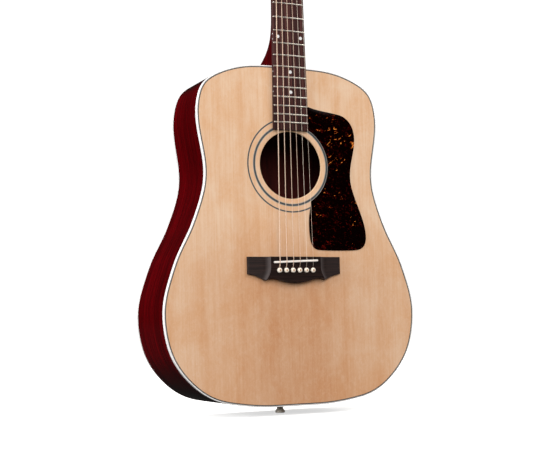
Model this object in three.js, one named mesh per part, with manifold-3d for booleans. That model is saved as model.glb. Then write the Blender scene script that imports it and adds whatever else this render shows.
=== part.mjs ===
// Steel-string acoustic guitar: square-shouldered body, 14 frets clear of it, three tuners a side.
// Millimetres. +Z runs up the neck, the soundboard faces -Y and the treble side is +X. While the
// pieces are made, z is 0 at the tail of the body and y is 0 on the soundboard's face. The last
// lines move the whole guitar so that its origin is the centre of the end pin's outer face.
import * as THREE from "three";
import { mergeVertices } from "three/addons/utils/BufferGeometryUtils.js";
import Module from "manifold-3d";

const wasm = await Module();
wasm.setup();

// ---------------------------------------------------------------- driving dimensions
const glueLine = 0.1; // gap left between glued neighbours
const slipGap = 0.3; // gap left around pieces in turned groups and joints

const scaleLength = 651;
const scaleEndZ = 216; // where the uncompensated scale ends, above the tail
const nutZ = scaleEndZ + scaleLength;
const fretCount = 20;

const bodyTopZ = 507;
const depthTail = 127.5;
const depthHeel = 98.5;
const backRadius = 4570; // dome of the back
const outlineSteps = 64; // corners of the body outline
// Right half of the body outline, [x, z], from shoulder to lower bout.
const halfOutline = [
  [87, 501],
  [138, 474],
  [149.5, 431],
  [139, 337],
  [156.3, 274],
  [187.6, 208],
  [205, 139],
  [189.6, 69.6],
  [139.4, 18.8],
  [74.6, 2.5],
];

const plateThickness = 2.8; // soundboard and back
const sideThickness = 2;
const binding = { width: 2.4, height: 5.2 };
const lining = { width: 6, height: 14 };
const soundHole = { z: scaleEndZ + 141.3, radius: 50.8 };
const rosette = { depth: 1.2, inner: [58.4, 62], outer: [69.2, 71.4] };
const ringSteps = 36; // corners of the sound hole and the rings round it
const neckBlock = { half: 38, length: 46 };
const tailBlock = { half: 44, length: 27 };
const endHole = 0.5; // how much wider the end pin's hole is than its shank

// Bars under the soundboard, their ends as [x, z], and across the back.
const crossing = { z: 272, y: 10, half: 9 }; // where the X braces lap
const xBraces = { low: [190, 112], high: [138, 388], width: 7.5, height: 15 };
const toneBar = { from: [-95, 75], to: [105, 165], width: 7, height: 11 };
const transverse = { half: 150, z: 432, width: 9, height: 12 };
const backBraces = [
  { z: 442, width: 8, height: 12 },
  { z: 304, width: 8, height: 12 },
  { z: 200, width: 17, height: 8 },
  { z: 96, width: 17, height: 8 },
];
const bridgePlateShape = { topHalf: 44, topZ: 224, lowHalf: 66, lowZ: 188, thickness: 2.5 };

const fingerboard = { nutHalf: 21.5, endHalf: 28.8, endZ: scaleEndZ + 193.6, crownY: -6.4 };
const playingRadius = 406; // crown of fingerboard, nut and saddle
const acrossBoard = [-1, -0.36, 0.36, 1]; // where that crown is sampled, as shares of half the width
const fret = { half: 1.15, height: 1.1, tang: 0.25, tangY: -3.7 };

const nut = { length: 5.5, slotY: -7.9, topY: -8.7 };
const saddle = { half: 36.5, thickness: 2.6, topY: -12, midZ: scaleEndZ - 3.6, rise: 1.4 };
const bridge = { half: 76, top: -9 };
const pin = { z: scaleEndZ - 16.7, spacing: 11, shank: 2.6, tip: 2.1, head: 3.9 };
const pinHole = 2.9;
const stringEntryZ = pin.z + 5;

const stringRadius = [0.67, 0.53, 0.41, 0.3, 0.2, 0.15];
const nutSpacing = 7.12;

const heel = { faceZ: bodyTopZ + 0.4, depth: 94.5, half: 13.5, capThickness: 2.2, capLength: 12 };
const heelSweep = { reach: 30, power: 1.5 }; // how fast the heel falls away up the neck
const neckHalfLess = 0.3; // the shaft is this much slimmer than the fingerboard
const shaftDepth = { nut: 14.5, body: 16.5 };
const tenon = { length: 19, near: 9, far: 13, depth: 70 };

const headPitch = THREE.MathUtils.degToRad(14);
const headThickness = 14.5;
const veneerFront = -1.6;
const headTopW = 184; // length of the head along its own slope
const postW = [42, 84, 126];
const postX = [20.5, 21.5, 22.5];
const postRadius = 3.1;
const postHole = 3.5;

const gear = { teeth: 14, pitch: 6.2, tip: 7, root: 5.5, thickness: 2.4 };
const worm = { tip: 2.9, root: 1.5, axisY: 19.2 };
const wormLead = (2 * Math.PI * gear.pitch) / gear.teeth;
const wormOffset = 8.65; // from the post's axis to the worm's
const earX = 7.8;

const rodY = 7.5; // truss rod axis behind the fingerboard's glue face
const endPin = { y: 60, reach: 13, head: 7.4, shank: 3.8 };

// ---------------------------------------------------------------- materials
const finish = (color, roughness, metalness = 0) =>
  new THREE.MeshStandardMaterial({ color, roughness, metalness });
const spruce = finish(0xe2c19a, 0.35);
const braceSpruce = finish(0xdcc39c, 0.7);
const mahogany = finish(0x5c0b0c, 0.25);
const rawMahogany = finish(0x8a5a3c, 0.7);
const rosewood = finish(0x3a2522, 0.45);
const maple = finish(0xd9c29a, 0.6);
const ivoroid = finish(0xf6f3ea, 0.3);
const bone = finish(0xf3ecd9, 0.35);
const purfling = finish(0x53585c, 0.5);
const tortoise = finish(0x1c0805, 0.12);
const nickel = finish(0xc9c9c6, 0.22, 1);
const steel = finish(0x6f7276, 0.4, 1);
const brass = finish(0xb08d4a, 0.35, 1);
const blackPlastic = finish(0x161515, 0.3);
const bronze = finish(0xc99b68, 0.3, 1);
const plainSteel = finish(0xd0d2d4, 0.25, 1);

// ---------------------------------------------------------------- solids
// A closed three.js geometry as a solid that can be joined and cut.
function solid(geometry) {
  const bare = geometry.clone();
  bare.deleteAttribute("normal");
  bare.deleteAttribute("uv");
  const merged = mergeVertices(bare, 1e-4);
  return new wasm.Manifold(
    new wasm.Mesh({
      numProp: 3,
      vertProperties: merged.attributes.position.array,
      triVerts: new Uint32Array(merged.index.array),
    }),
  );
}

const cut = (body, ...tools) => tools.reduce((left, tool) => left.subtract(tool), body);
const join = (body, ...others) => others.reduce((sum, other) => sum.add(other), body);

function geometryOf(made) {
  const mesh = made.getMesh();
  const shared = new THREE.BufferGeometry();
  shared.setAttribute("position", new THREE.BufferAttribute(new Float32Array(mesh.vertProperties), 3));
  shared.setIndex(new THREE.BufferAttribute(new Uint32Array(mesh.triVerts), 1));
  const faceted = shared.toNonIndexed();
  faceted.computeVertexNormals();
  return faceted;
}

function piece(name, shape, material) {
  const geometry = shape.isBufferGeometry ? shape : geometryOf(shape);
  const mesh = new THREE.Mesh(geometry, material);
  mesh.name = name;
  return mesh;
}

// An outline of [x, z] corners, thickened from y = front to y = back.
function prism(outline, front, back) {
  const shape = new THREE.Shape(outline.map(([x, z]) => new THREE.Vector2(x, z)));
  const made = new THREE.ExtrudeGeometry(shape, { depth: back - front, bevelEnabled: false });
  made.rotateX(Math.PI / 2);
  made.translate(0, back, 0);
  return solid(made);
}

function block(x0, x1, y0, y1, z0, z1) {
  const made = new THREE.BoxGeometry(x1 - x0, y1 - y0, z1 - z0);
  made.translate((x0 + x1) / 2, (y0 + y1) / 2, (z0 + z1) / 2);
  return solid(made);
}

// Round bars along each axis, from one end to the other.
function barY(radius, x, y0, y1, z, sides = 16) {
  const made = new THREE.CylinderGeometry(radius, radius, y1 - y0, sides);
  made.translate(x, (y0 + y1) / 2, z);
  return solid(made);
}

function barZ(radius, x, y, z0, z1, sides = 16) {
  const made = new THREE.CylinderGeometry(radius, radius, z1 - z0, sides);
  made.rotateX(Math.PI / 2);
  made.translate(x, y, (z0 + z1) / 2);
  return solid(made);
}

function barX(radius, x0, x1, y, z, sides = 8) {
  const made = new THREE.CylinderGeometry(radius, radius, x1 - x0, sides);
  made.rotateZ(Math.PI / 2);
  made.translate((x0 + x1) / 2, y, z);
  return solid(made);
}

const mirrored = (half) => [...half, ...half.map(([x, z]) => [-x, z]).reverse()];

// Skins a row of closed sections, each the same number of Vector3, and caps both ends.
function loft(sections) {
  const count = sections[0].length;
  const triangles = [];
  for (let s = 0; s + 1 < sections.length; s++)
    for (let i = 0; i < count; i++) {
      const a = s * count + i;
      const b = s * count + ((i + 1) % count);
      triangles.push([a, b, b + count], [a, b + count, a + count]);
    }
  triangles.push(...capOf(sections[0], 0, true));
  triangles.push(...capOf(sections.at(-1), (sections.length - 1) * count, false));
  const points = sections.flat();
  const volume = triangles.reduce(
    (sum, [a, b, c]) => sum + points[a].dot(points[b].clone().cross(points[c])),
    0,
  );
  if (volume < 0) triangles.forEach((t) => t.reverse());
  const made = new THREE.BufferGeometry().setFromPoints(points);
  made.setIndex(triangles.flat());
  return made;
}

function capOf(section, start, reversed) {
  const normal = new THREE.Vector3();
  section.forEach((p, i) => normal.add(p.clone().cross(section[(i + 1) % section.length])));
  normal.normalize();
  const across = section[1].clone().sub(section[0]).normalize();
  const along = normal.clone().cross(across);
  const flat = section.map((p) => new THREE.Vector2(p.dot(across), p.dot(along)));
  return THREE.ShapeUtils.triangulateShape(flat, []).map(([a, b, c]) => {
    const ab = flat[b].clone().sub(flat[a]);
    const turnsLeft = ab.cross(flat[c].clone().sub(flat[a])) > 0;
    const ring = turnsLeft === reversed ? [a, c, b] : [a, b, c];
    return ring.map((i) => i + start);
  });
}

// A path with a corner at each of its points and one sweep step for each stretch between them.
class CornerPath extends THREE.Curve {
  constructor(points) {
    super();
    this.points = points;
  }

  getUtoTmapping(u) {
    return u;
  }

  getPoint(t) {
    const reach = t * (this.points.length - 1);
    const from = Math.min(Math.floor(reach + 1e-6), this.points.length - 2);
    return this.points[from].clone().lerp(this.points[from + 1], reach - from);
  }

  getTangent(t) {
    const at = Math.round(t * (this.points.length - 1));
    const here = this.points[at];
    const before = this.points[Math.max(at - 1, 0)];
    const after = this.points[Math.min(at + 1, this.points.length - 1)];
    const into = here.clone().sub(before).normalize();
    return after.clone().sub(here).normalize().add(into).normalize();
  }
}

// A round wire along a row of points.
function wire(points, radius, sides = 6) {
  const corners = Array.from({ length: sides }, (_, k) => {
    const angle = (2 * Math.PI * (k + 0.5)) / sides;
    return new THREE.Vector2(radius * Math.cos(angle), radius * Math.sin(angle));
  });
  const swept = { extrudePath: new CornerPath(points), steps: points.length - 1 };
  return solid(new THREE.ExtrudeGeometry(new THREE.Shape(corners), swept));
}

// ---------------------------------------------------------------- body outline and back
const bodyCurve = new THREE.CatmullRomCurve3(
  [[0, bodyTopZ], ...halfOutline, [0, 0], ...halfOutline.map(([x, z]) => [-x, z]).reverse()].map(
    ([x, z]) => new THREE.Vector3(x, 0, z),
  ),
  true,
  "centripetal",
);
bodyCurve.arcLengthDivisions = 1200;

function bodyOutline(inset) {
  return Array.from({ length: outlineSteps }, (_, i) => {
    const p = bodyCurve.getPointAt(i / outlineSteps);
    const t = bodyCurve.getTangentAt(i / outlineSteps);
    return [p.x + inset * t.z, p.z - inset * t.x];
  });
}

// Depth of the back's outer face below the soundboard: a taper from tail to heel, plus the dome.
function backY(x, z) {
  const half = bodyTopZ / 2;
  const taper = THREE.MathUtils.lerp(depthTail, depthHeel, z / bodyTopZ);
  return taper + (half * half - (z - half) ** 2 - x * x) / (2 * backRadius);
}

// A slab that follows the dome, from `inner` to `outer` in front of the back's outer face.
function domedSlab(inner, outer) {
  const made = new THREE.BoxGeometry(460, 1, 560, 4, 1, 6);
  made.translate(0, 0, bodyTopZ / 2);
  const p = made.attributes.position;
  for (let i = 0; i < p.count; i++)
    p.setY(i, backY(p.getX(i), p.getZ(i)) - (p.getY(i) > 0 ? outer : inner));
  return solid(made);
}

// A band along the body's outline, between two insets from its edge.
function ring(from, to, front, back) {
  const filled = prism(bodyOutline(from), front, back);
  return cut(filled, prism(bodyOutline(to), front - 1, back + 1));
}

const behindEverything = 160;
const plateEdge = binding.width + glueLine;
const liningEdge = plateEdge + glueLine;
const liningInside = liningEdge + lining.width;
const insideLinings = prism(bodyOutline(liningInside + 1), 0, behindEverything);

// ---------------------------------------------------------------- neck joint, blocks and pin holes
const tenonOutline = (gap) =>
  mirrored([
    [tenon.near + gap, heel.faceZ + 1],
    [tenon.far + gap, bodyTopZ - tenon.length - gap],
  ]);
const mortise = prism(tenonOutline(slipGap), -1, tenon.depth + slipGap);

const neckBlockZone = block(
  -neckBlock.half,
  neckBlock.half,
  0,
  behindEverything,
  bodyTopZ - neckBlock.length,
  bodyTopZ + 5,
);
const tailBlockZone = block(-tailBlock.half, tailBlock.half, 0, behindEverything, -5, tailBlock.length);
const endPinHole = barZ(endPin.shank + endHole, 0, endPin.y, -5, tailBlock.length + 5);

const pinXs = Array.from({ length: 6 }, (_, i) => (i - 2.5) * pin.spacing);
const pinHoles = pinXs.map((x) => barY(pinHole, x, -20, 20, pin.z, 10));
const stringSlots = pinXs.map((x) =>
  block(x - 0.95, x + 0.95, -20, 20, pin.z + 1, stringEntryZ + 0.95),
);

// ---------------------------------------------------------------- plates, sides and edge trim
function soundboard() {
  const board = prism(bodyOutline(plateEdge), 0, plateThickness);
  const hole = barY(soundHole.radius, 0, -1, plateThickness + 1, soundHole.z, ringSteps);
  const bands = [rosette.inner, rosette.outer];
  const channels = bands.map((band) => annulus(band, glueLine, -1, rosette.depth));
  return cut(board, hole, ...channels, ...pinHoles, ...stringSlots, mortise);
}

function annulus([inside, outside], gap, front, back) {
  const disc = barY(outside + gap, 0, front, back, soundHole.z, ringSteps);
  return cut(disc, barY(inside - gap, 0, front - 1, back + 1, soundHole.z, ringSteps));
}

function backPlate() {
  const plate = prism(bodyOutline(plateEdge), 0, behindEverything);
  return plate.intersect(domedSlab(plateThickness, 0));
}

function backBinding() {
  return ring(0, binding.width, 0, behindEverything).intersect(domedSlab(binding.height, 0));
}

function side(sign) {
  const wall = ring(0, sideThickness, binding.height + glueLine, behindEverything);
  const halfSpace = block(sign > 0 ? 0.15 : -300, sign > 0 ? 300 : -0.15, 0, behindEverything, -50, 600);
  const behind = domedSlab(binding.height + glueLine, -behindEverything);
  return cut(wall, behind, mortise, endPinHole).intersect(halfSpace);
}

function topLining(gap = 0) {
  const front = plateThickness + glueLine - gap;
  const back = front + lining.height + 2 * gap;
  return ring(liningEdge - gap, liningInside + gap, front, back);
}

function backLining(gap = 0) {
  const outer = plateThickness + glueLine - gap;
  const made = ring(liningEdge - gap, liningInside + gap, 0, behindEverything);
  return made.intersect(domedSlab(outer + lining.height + 2 * gap, outer));
}

// A block that fills one end of the body, notched over the linings.
function endBlock(zone) {
  const inside = prism(bodyOutline(liningEdge), plateThickness + glueLine, behindEverything);
  const behind = domedSlab(plateThickness + glueLine, -behindEverything);
  return cut(inside.intersect(zone), behind, topLining(glueLine), backLining(glueLine));
}

// ---------------------------------------------------------------- bracing
// A tapered bar under the soundboard from one [x, z] to another.
function topBrace([x0, z0], [x1, z1], width, height) {
  const length = Math.hypot(x1 - x0, z1 - z0);
  const profile = new THREE.Shape(
    [
      [0, 0],
      [length, 0],
      [length, 3],
      [length * 0.8, height],
      [length * 0.2, height],
      [0, 3],
    ].map(([u, v]) => new THREE.Vector2(u, v)),
  );
  const made = new THREE.ExtrudeGeometry(profile, { depth: width, bevelEnabled: false });
  made.translate(0, plateThickness + glueLine, -width / 2);
  made.rotateY(-Math.atan2(z1 - z0, x1 - x0));
  made.translate(x0, 0, z0);
  return solid(made).intersect(insideLinings);
}

function transverseBrace() {
  const { half, z, width, height } = transverse;
  return topBrace([-half, z], [half, z], width, height);
}

function backBrace({ z, width, height }) {
  const front = plateThickness + glueLine + height;
  const made = domedSlab(front, plateThickness + glueLine).intersect(insideLinings);
  return made.intersect(block(-300, 300, 0, behindEverything, z - width / 2, z + width / 2));
}

function xBrace(sign) {
  const { low, high, width, height } = xBraces;
  return topBrace([-sign * low[0], low[1]], [sign * high[0], high[1]], width, height);
}

function lapNotch(front, back) {
  const { half, z } = crossing;
  return block(-half, half, front, back, z - half, z + half);
}

function bridgePlate() {
  const { topHalf, topZ, lowHalf, lowZ, thickness } = bridgePlateShape;
  const front = plateThickness + glueLine;
  const outline = mirrored([
    [topHalf, topZ],
    [lowHalf, lowZ],
  ]);
  return cut(prism(outline, front, front + thickness), ...pinHoles, ...stringSlots);
}

// ---------------------------------------------------------------- pickguard, bridge and saddle
const bezier = (from, a, b, to, steps) =>
  new THREE.CubicBezierCurve(...[from, a, b, to].map(([x, z]) => new THREE.Vector2(x, z)))
    .getPoints(steps)
    .slice(0, -1)
    .map((p) => [p.x, p.y]);

const aboveScaleEnd = ([x, z]) => [x, scaleEndZ + z];

// The guard hugs the rosette's inner ring and the fingerboard, with [x, z] above the scale's end.
function pickguard() {
  const hug = rosette.inner[1] + 0.4;
  const edge = fingerboard.endHalf + 0.5;
  const holeZ = soundHole.z - scaleEndZ;
  const arcFrom = Math.asin((196 - holeZ) / hug);
  const arcTo = -Math.asin((holeZ - 88) / hug);
  const arc = Array.from({ length: 13 }, (_, i) => {
    const angle = THREE.MathUtils.lerp(arcTo, arcFrom, i / 12);
    return [hug * Math.cos(angle), holeZ + hug * Math.sin(angle)];
  });
  const outline = [
    ...arc,
    [edge, 200],
    ...bezier([edge, 232], [46, 226.5], [62, 226], [84, 222], 4),
    ...bezier([84, 222], [101, 218], [110, 203], [109.4, 184], 6),
    ...bezier([109.4, 184], [108.5, 163], [100, 148], [100, 126], 5),
    ...bezier([100, 126], [100, 98], [124, 66], [124.6, 36], 6),
    ...bezier([124.6, 36], [124.8, 21], [118, 14.5], [103, 14], 5),
    ...bezier([103, 14], [84, 13], [62, 13.2], [45, 14], 3),
    ...bezier([45, 14], [35, 14.6], [31.5, 20], [29.5, 28], 4),
    ...bezier([29.5, 28], [27, 42], [26.6, 60], [30, 74], 4),
  ];
  return prism(outline.map(aboveScaleEnd), -1.6, -glueLine);
}

function bridgeOutline() {
  const half = [
    [bridge.half, 3.5],
    ...bezier([bridge.half, -21.5], [66, -22.4], [58, -27], [48.5, -30], 4),
    ...bezier([48.5, -30], [36, -25.5], [26, -34.2], [0, -34.2], 7),
  ];
  const corners = half.map(aboveScaleEnd);
  return mirrored(corners);
}

// Everything above the bridge's wings, which drop away from the middle in a hollow.
function wingScoop(sign) {
  const hollow = [
    [41, -9],
    [41.6, -7.6],
    [43.5, -6.2],
    [47, -5.4],
    [54, -4.9],
    [bridge.half + 5, -4.3],
    [bridge.half + 5, -14],
    [41, -14],
  ].map(([x, y]) => new THREE.Vector2(sign * x, y));
  const made = new THREE.ExtrudeGeometry(new THREE.Shape(hollow), { depth: 60, bevelEnabled: false });
  made.translate(0, 0, scaleEndZ - 45);
  return solid(made);
}

const saddleZ = (x) => saddle.midZ + (saddle.rise * x) / saddle.half;
const crownDrop = (x) => (x * x) / (2 * playingRadius);

// A strip standing along the saddle's slant, its top following the playing radius.
function slantedStrip(gap, top, bottom) {
  const half = saddle.half + gap;
  const thick = saddle.thickness / 2 + gap;
  const sections = acrossBoard.map((share) => {
    const x = share * half;
    const crown = top + crownDrop(x);
    return [
      new THREE.Vector3(x, bottom, saddleZ(x) - thick),
      new THREE.Vector3(x, bottom, saddleZ(x) + thick),
      new THREE.Vector3(x, crown + 0.5, saddleZ(x) + thick),
      new THREE.Vector3(x, crown, saddleZ(x) + 0.4),
      new THREE.Vector3(x, crown, saddleZ(x) - 0.4),
      new THREE.Vector3(x, crown + 0.5, saddleZ(x) - thick),
    ];
  });
  return solid(loft(sections));
}

function bridgeBody() {
  const blank = prism(bridgeOutline(), bridge.top, -glueLine);
  const slot = slantedStrip(0.2, bridge.top - 12, bridge.top + 5);
  return cut(blank, wingScoop(1), wingScoop(-1), slot, ...pinHoles, ...stringSlots);
}

function bridgePin(x) {
  const profile = [
    [0, 18],
    [pin.tip, 17.5],
    [pin.shank, bridge.top],
    [pin.shank, bridge.top - 0.2],
    [pin.head, bridge.top - 0.2],
    [pin.head, bridge.top - 1.2],
    [pin.head * 0.8, bridge.top - 2.6],
    [0, bridge.top - 3.4],
  ].map(([r, y]) => new THREE.Vector2(r, y));
  const made = new THREE.LatheGeometry(profile.reverse(), 10);
  made.translate(x, 0, pin.z);
  return solid(made);
}

function strapPin() {
  const profile = [
    [0, -endPin.reach],
    [endPin.head - 0.8, -endPin.reach],
    [endPin.head, 1 - endPin.reach],
    [endPin.head - 0.2, 3.5 - endPin.reach],
    [4.6, 7 - endPin.reach],
    [endPin.head - 0.6, -0.9],
    [endPin.head - 0.6, -slipGap],
    [endPin.shank, -slipGap],
    [endPin.shank - 0.4, 24],
    [0, 24],
  ].map(([r, z]) => new THREE.Vector2(r, z));
  const made = new THREE.LatheGeometry(profile, 16);
  made.rotateX(Math.PI / 2);
  made.translate(0, endPin.y, 0);
  return solid(made);
}

// ---------------------------------------------------------------- head frame
// The head leans back from the nut; its own frame has w up its face and y out of its back.
const headRoot = new THREE.Vector3(0, 0, nutZ + nut.length);
const head = new THREE.Group();
head.position.copy(headRoot);
head.rotation.x = -headPitch;
head.updateMatrix();
const toBody = (x, y, w) => new THREE.Vector3(x, y, w).applyMatrix4(head.matrix);
const inBody = (made) => made.transform(head.matrix.elements);
const inHead = (made) => made.transform(head.matrix.clone().invert().elements);

// Half width of the head's outline, root to tip, as corners [x, w].
function headHalf(rootW) {
  return [
    [21.6, rootW],
    ...bezier([21.7, 3], [23, 14], [34, 16], [35.6, 32], 7),
    ...bezier([35.6, 32], [36.6, 60], [38.4, 120], [38.6, 160], 3),
    ...bezier([38.6, 160], [38.6, 172], [33, 176], [24, 179], 5),
    ...bezier([24, 179], [14, 182], [7, headTopW], [0, headTopW], 4),
  ];
}

const headOutline = (rootW) => mirrored(headHalf(rootW));

const rodPocket = block(-5.5, 5.5, -6, 12.6, headRoot.z + 0.4, headRoot.z + 19);

// ---------------------------------------------------------------- neck and fingerboard
const halfWidthAt = (z) =>
  THREE.MathUtils.mapLinear(z, nutZ, fingerboard.endZ, fingerboard.nutHalf, fingerboard.endHalf);

// Depth of the neck behind the fingerboard, with the heel growing out of it near the body.
function neckDepth(z) {
  const shaft = THREE.MathUtils.mapLinear(z, nutZ, bodyTopZ, shaftDepth.nut, shaftDepth.body);
  const past = Math.max(0, z - heel.faceZ - heel.capLength);
  return shaft + (heel.depth - shaft) * Math.exp(-Math.pow(past / heelSweep.reach, heelSweep.power));
}

function neckSection(z) {
  const wide = halfWidthAt(z) - neckHalfLess;
  const deep = neckDepth(z);
  const fromHeel = z - heel.faceZ;
  const heelShare = Math.exp(-Math.pow(fromHeel / 44, 1.6));
  const heelHalf = heel.half - 5 * THREE.MathUtils.smoothstep(fromHeel, 0, 14);
  const steps = 6;
  const half = Array.from({ length: steps + 1 }, (_, i) => {
    const angle = ((i / steps) * Math.PI) / 2;
    const down = Math.min(1, i / (steps - 1));
    const heelX = i === steps ? 0 : wide + (heelHalf - wide) * Math.pow(down, 0.75);
    return [
      THREE.MathUtils.lerp(wide * Math.cos(angle), heelX, heelShare),
      deep * THREE.MathUtils.lerp(Math.sin(angle), down, heelShare),
    ];
  });
  half[steps][0] = 0;
  return [...half, ...half.slice(0, -1).map(([x, y]) => [-x, y]).reverse()].map(
    ([x, y]) => new THREE.Vector3(x, y, z),
  );
}

function neck() {
  const above = [0, 6, 12, 18, 26, 36, 48, 62, 80, 105, 200, 300];
  const heights = [...above.map((s) => heel.faceZ + s), nutZ, headRoot.z + 13];
  const shaft = solid(loft(heights.map(neckSection)));
  const overHead = inBody(block(-60, 60, -60, 0, -0.5, 60));
  const headBlank = inBody(prism(headOutline(0.3), 0, headThickness));
  const root = prism(tenonOutline(0), 0, tenon.depth);
  const blank = join(cut(shaft, overHead), headBlank, root);
  const posts = postPlaces.map(({ x, w }) => inBody(barY(postHole, x, -5, 30, w, 10)));
  const rodChannel = block(-3, 3, -1, rodY + 2.8, heel.faceZ + 10, headRoot.z + 1);
  return cut(blank, rodChannel, rodPocket, ...posts);
}

function heelCap() {
  const steps = 7;
  const half = Array.from({ length: steps }, (_, i) => {
    const angle = ((i / (steps - 1)) * Math.PI) / 2;
    return [heel.half * Math.cos(angle), heel.faceZ + heel.capLength * Math.sin(angle)];
  });
  half[steps - 1][0] = 0.01;
  const front = heel.depth + glueLine;
  return prism(mirrored(half), front, front + heel.capThickness);
}

const boardTop = (x) => fingerboard.crownY + crownDrop(x);
const fretZ = (n) => scaleEndZ + scaleLength * Math.pow(2, -n / 12);
const fretNumbers = Array.from({ length: fretCount }, (_, i) => i + 1);

// The frets' tangs meet a thin rail that runs through the fingerboard, so that the set is one body.
const rail = (gap) =>
  block(-0.4 - gap, 0.4 + gap, -4 - gap, -3.4 + gap, fretZ(fretCount) - gap, fretZ(1) + gap);

function fretboard() {
  const section = (z) => {
    const half = halfWidthAt(z);
    const top = acrossBoard.map((share) => share * half);
    return [
      ...top.map((x) => new THREE.Vector3(x, boardTop(x), z)),
      new THREE.Vector3(half, -glueLine, z),
      new THREE.Vector3(-half, -glueLine, z),
    ];
  };
  const blank = solid(loft([section(fingerboard.endZ), section(nutZ - glueLine)]));
  const slots = fretNumbers.map((n) =>
    block(-40, 40, -20, fret.tangY + 0.1, fretZ(n) - fret.tang - 0.1, fretZ(n) + fret.tang + 0.1),
  );
  return cut(blank, ...slots, rail(0.12));
}

function oneFret(n) {
  const z = fretZ(n);
  const half = halfWidthAt(z) - 0.2;
  const sections = acrossBoard.map((share) => {
    const x = share * half;
    const seat = boardTop(x) - 0.05;
    return [
      [-fret.tang, fret.tangY],
      [fret.tang, fret.tangY],
      [fret.tang, seat],
      [fret.half, seat],
      [0.6, seat - fret.height],
      [-0.6, seat - fret.height],
      [-fret.half, seat],
      [-fret.tang, seat],
    ].map(([across, y]) => new THREE.Vector3(x, y, z + across));
  });
  return solid(loft(sections));
}

function nutBlock() {
  const sections = acrossBoard.map((share) => {
    const x = share * fingerboard.nutHalf;
    const crown = nut.topY + crownDrop(x);
    return [
      [0, -glueLine],
      [nut.length, -glueLine],
      [nut.length, crown + 1.6],
      [1.5, crown],
      [0, crown],
    ].map(([along, y]) => new THREE.Vector3(x, y, nutZ + along));
  });
  const slots = stringRadius.map((radius, i) => {
    const x = (i - 2.5) * nutSpacing;
    const made = new THREE.BoxGeometry(2 * radius + 1.5, 6, 12);
    made.translate(0, -3, 5.4);
    made.rotateX(-headPitch - 0.03);
    made.translate(x, nut.slotY + crownDrop(x), nutZ + 1);
    const floor = nut.slotY + crownDrop(x);
    const level = block(x - radius - slipGap, x + radius + slipGap, -12, floor, nutZ - 1, nutZ + 1);
    return join(level, solid(made));
  });
  return cut(solid(loft(sections)), ...slots);
}

// ---------------------------------------------------------------- truss rod
function trussRod() {
  const bar = barZ(2.2, 0, rodY, heel.faceZ + 14, headRoot.z + 12.5, 10);
  const anchor = block(-2.7, 2.7, rodY - 2.6, rodY + 2.4, heel.faceZ + 12, heel.faceZ + 22);
  return join(bar, anchor);
}

function trussRodNut() {
  const hex = barZ(3.9, 0, rodY, headRoot.z + 4, headRoot.z + 15, 6);
  return cut(hex, barZ(2.5, 0, rodY, headRoot.z, headRoot.z + 13, 10));
}

function trussRodCover() {
  const half = [
    [9.5, 1.5],
    ...bezier([10, 8], [10, 16], [7, 20], [5, 25], 5),
    ...bezier([5, 25], [4, 29], [2, 30.5], [0, 30.5], 3),
  ];
  return prism(mirrored(half), veneerFront - glueLine - 1.6, veneerFront - glueLine);
}

function headVeneer() {
  const sheet = prism(headOutline(1), veneerFront, -glueLine);
  const posts = postPlaces.map(({ x, w }) => barY(postHole, x, -5, 5, w, 10));
  return cut(sheet, inHead(rodPocket), ...posts);
}

// ---------------------------------------------------------------- tuners, in the head's frame
// Strings run 1 to 6 from bass to treble: low posts take the outer strings, high posts the inner.
const postPlaces = [0, 1, 2, 2, 1, 0].map((row, i) => ({
  sign: i < 3 ? -1 : 1,
  x: (i < 3 ? -1 : 1) * postX[row],
  w: postW[row],
}));

function tunerPost({ x, w }) {
  const turn = (2 * Math.PI) / gear.teeth;
  // Each tooth as [angle share of the tooth spacing, radius]; one tooth points at the worm.
  const tooth = [
    [-0.24, gear.root],
    [-0.11, gear.tip],
    [0.11, gear.tip],
    [0.24, gear.root],
  ];
  const outline = Array.from({ length: gear.teeth }, (_, k) =>
    tooth.map(([share, radius]) => {
      const angle = -Math.PI / 2 + (k + share) * turn;
      return [x + radius * Math.cos(angle), w + radius * Math.sin(angle)];
    }),
  ).flat();
  const half = gear.thickness / 2;
  const wheel = prism(outline, worm.axisY - half, worm.axisY + half);
  return join(wheel, barY(postRadius, x, -10.5, worm.axisY + half + 1.2, w, 10));
}

// A right-hand thread whose gaps take the gear's teeth where it faces the gear.
function wormThread(x, w) {
  const perTurn = 6;
  const turns = 3;
  const facingGear = Math.PI / 2;
  const sections = Array.from({ length: perTurn * turns + 1 }, (_, i) => {
    const angle = 2 * Math.PI * (i / perTurn - turns / 2) + facingGear;
    const along = x + wormLead * ((angle - facingGear) / (2 * Math.PI) + 0.5);
    const out = (radius, shift) =>
      new THREE.Vector3(
        along + shift,
        worm.axisY + radius * Math.cos(angle),
        w - wormOffset + radius * Math.sin(angle),
      );
    return [out(worm.root - 0.4, -0.62), out(worm.root - 0.4, 0.62), out(worm.tip, 0)];
  });
  return solid(loft(sections));
}

function tunerButton({ sign, x, w }) {
  const axisW = w - wormOffset;
  const inner = Math.abs(x) - earX - 1.2;
  const outer = 44;
  const shaft = sign > 0
    ? barX(worm.root, inner, outer, worm.axisY, axisW)
    : barX(worm.root, -outer, -inner, worm.axisY, axisW);
  const collarAt = [sign * 41, sign * 44.5].sort((a, b) => a - b);
  const collar = barX(3.2, ...collarAt, worm.axisY, axisW, 8);
  const knob = new THREE.SphereGeometry(1, 10, 6);
  knob.rotateX(Math.PI / 2);
  knob.scale(8.5, 4.2, 10);
  knob.translate(sign * 51, worm.axisY, axisW);
  return join(shaft, wormThread(x, w), collar, solid(knob));
}

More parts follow.
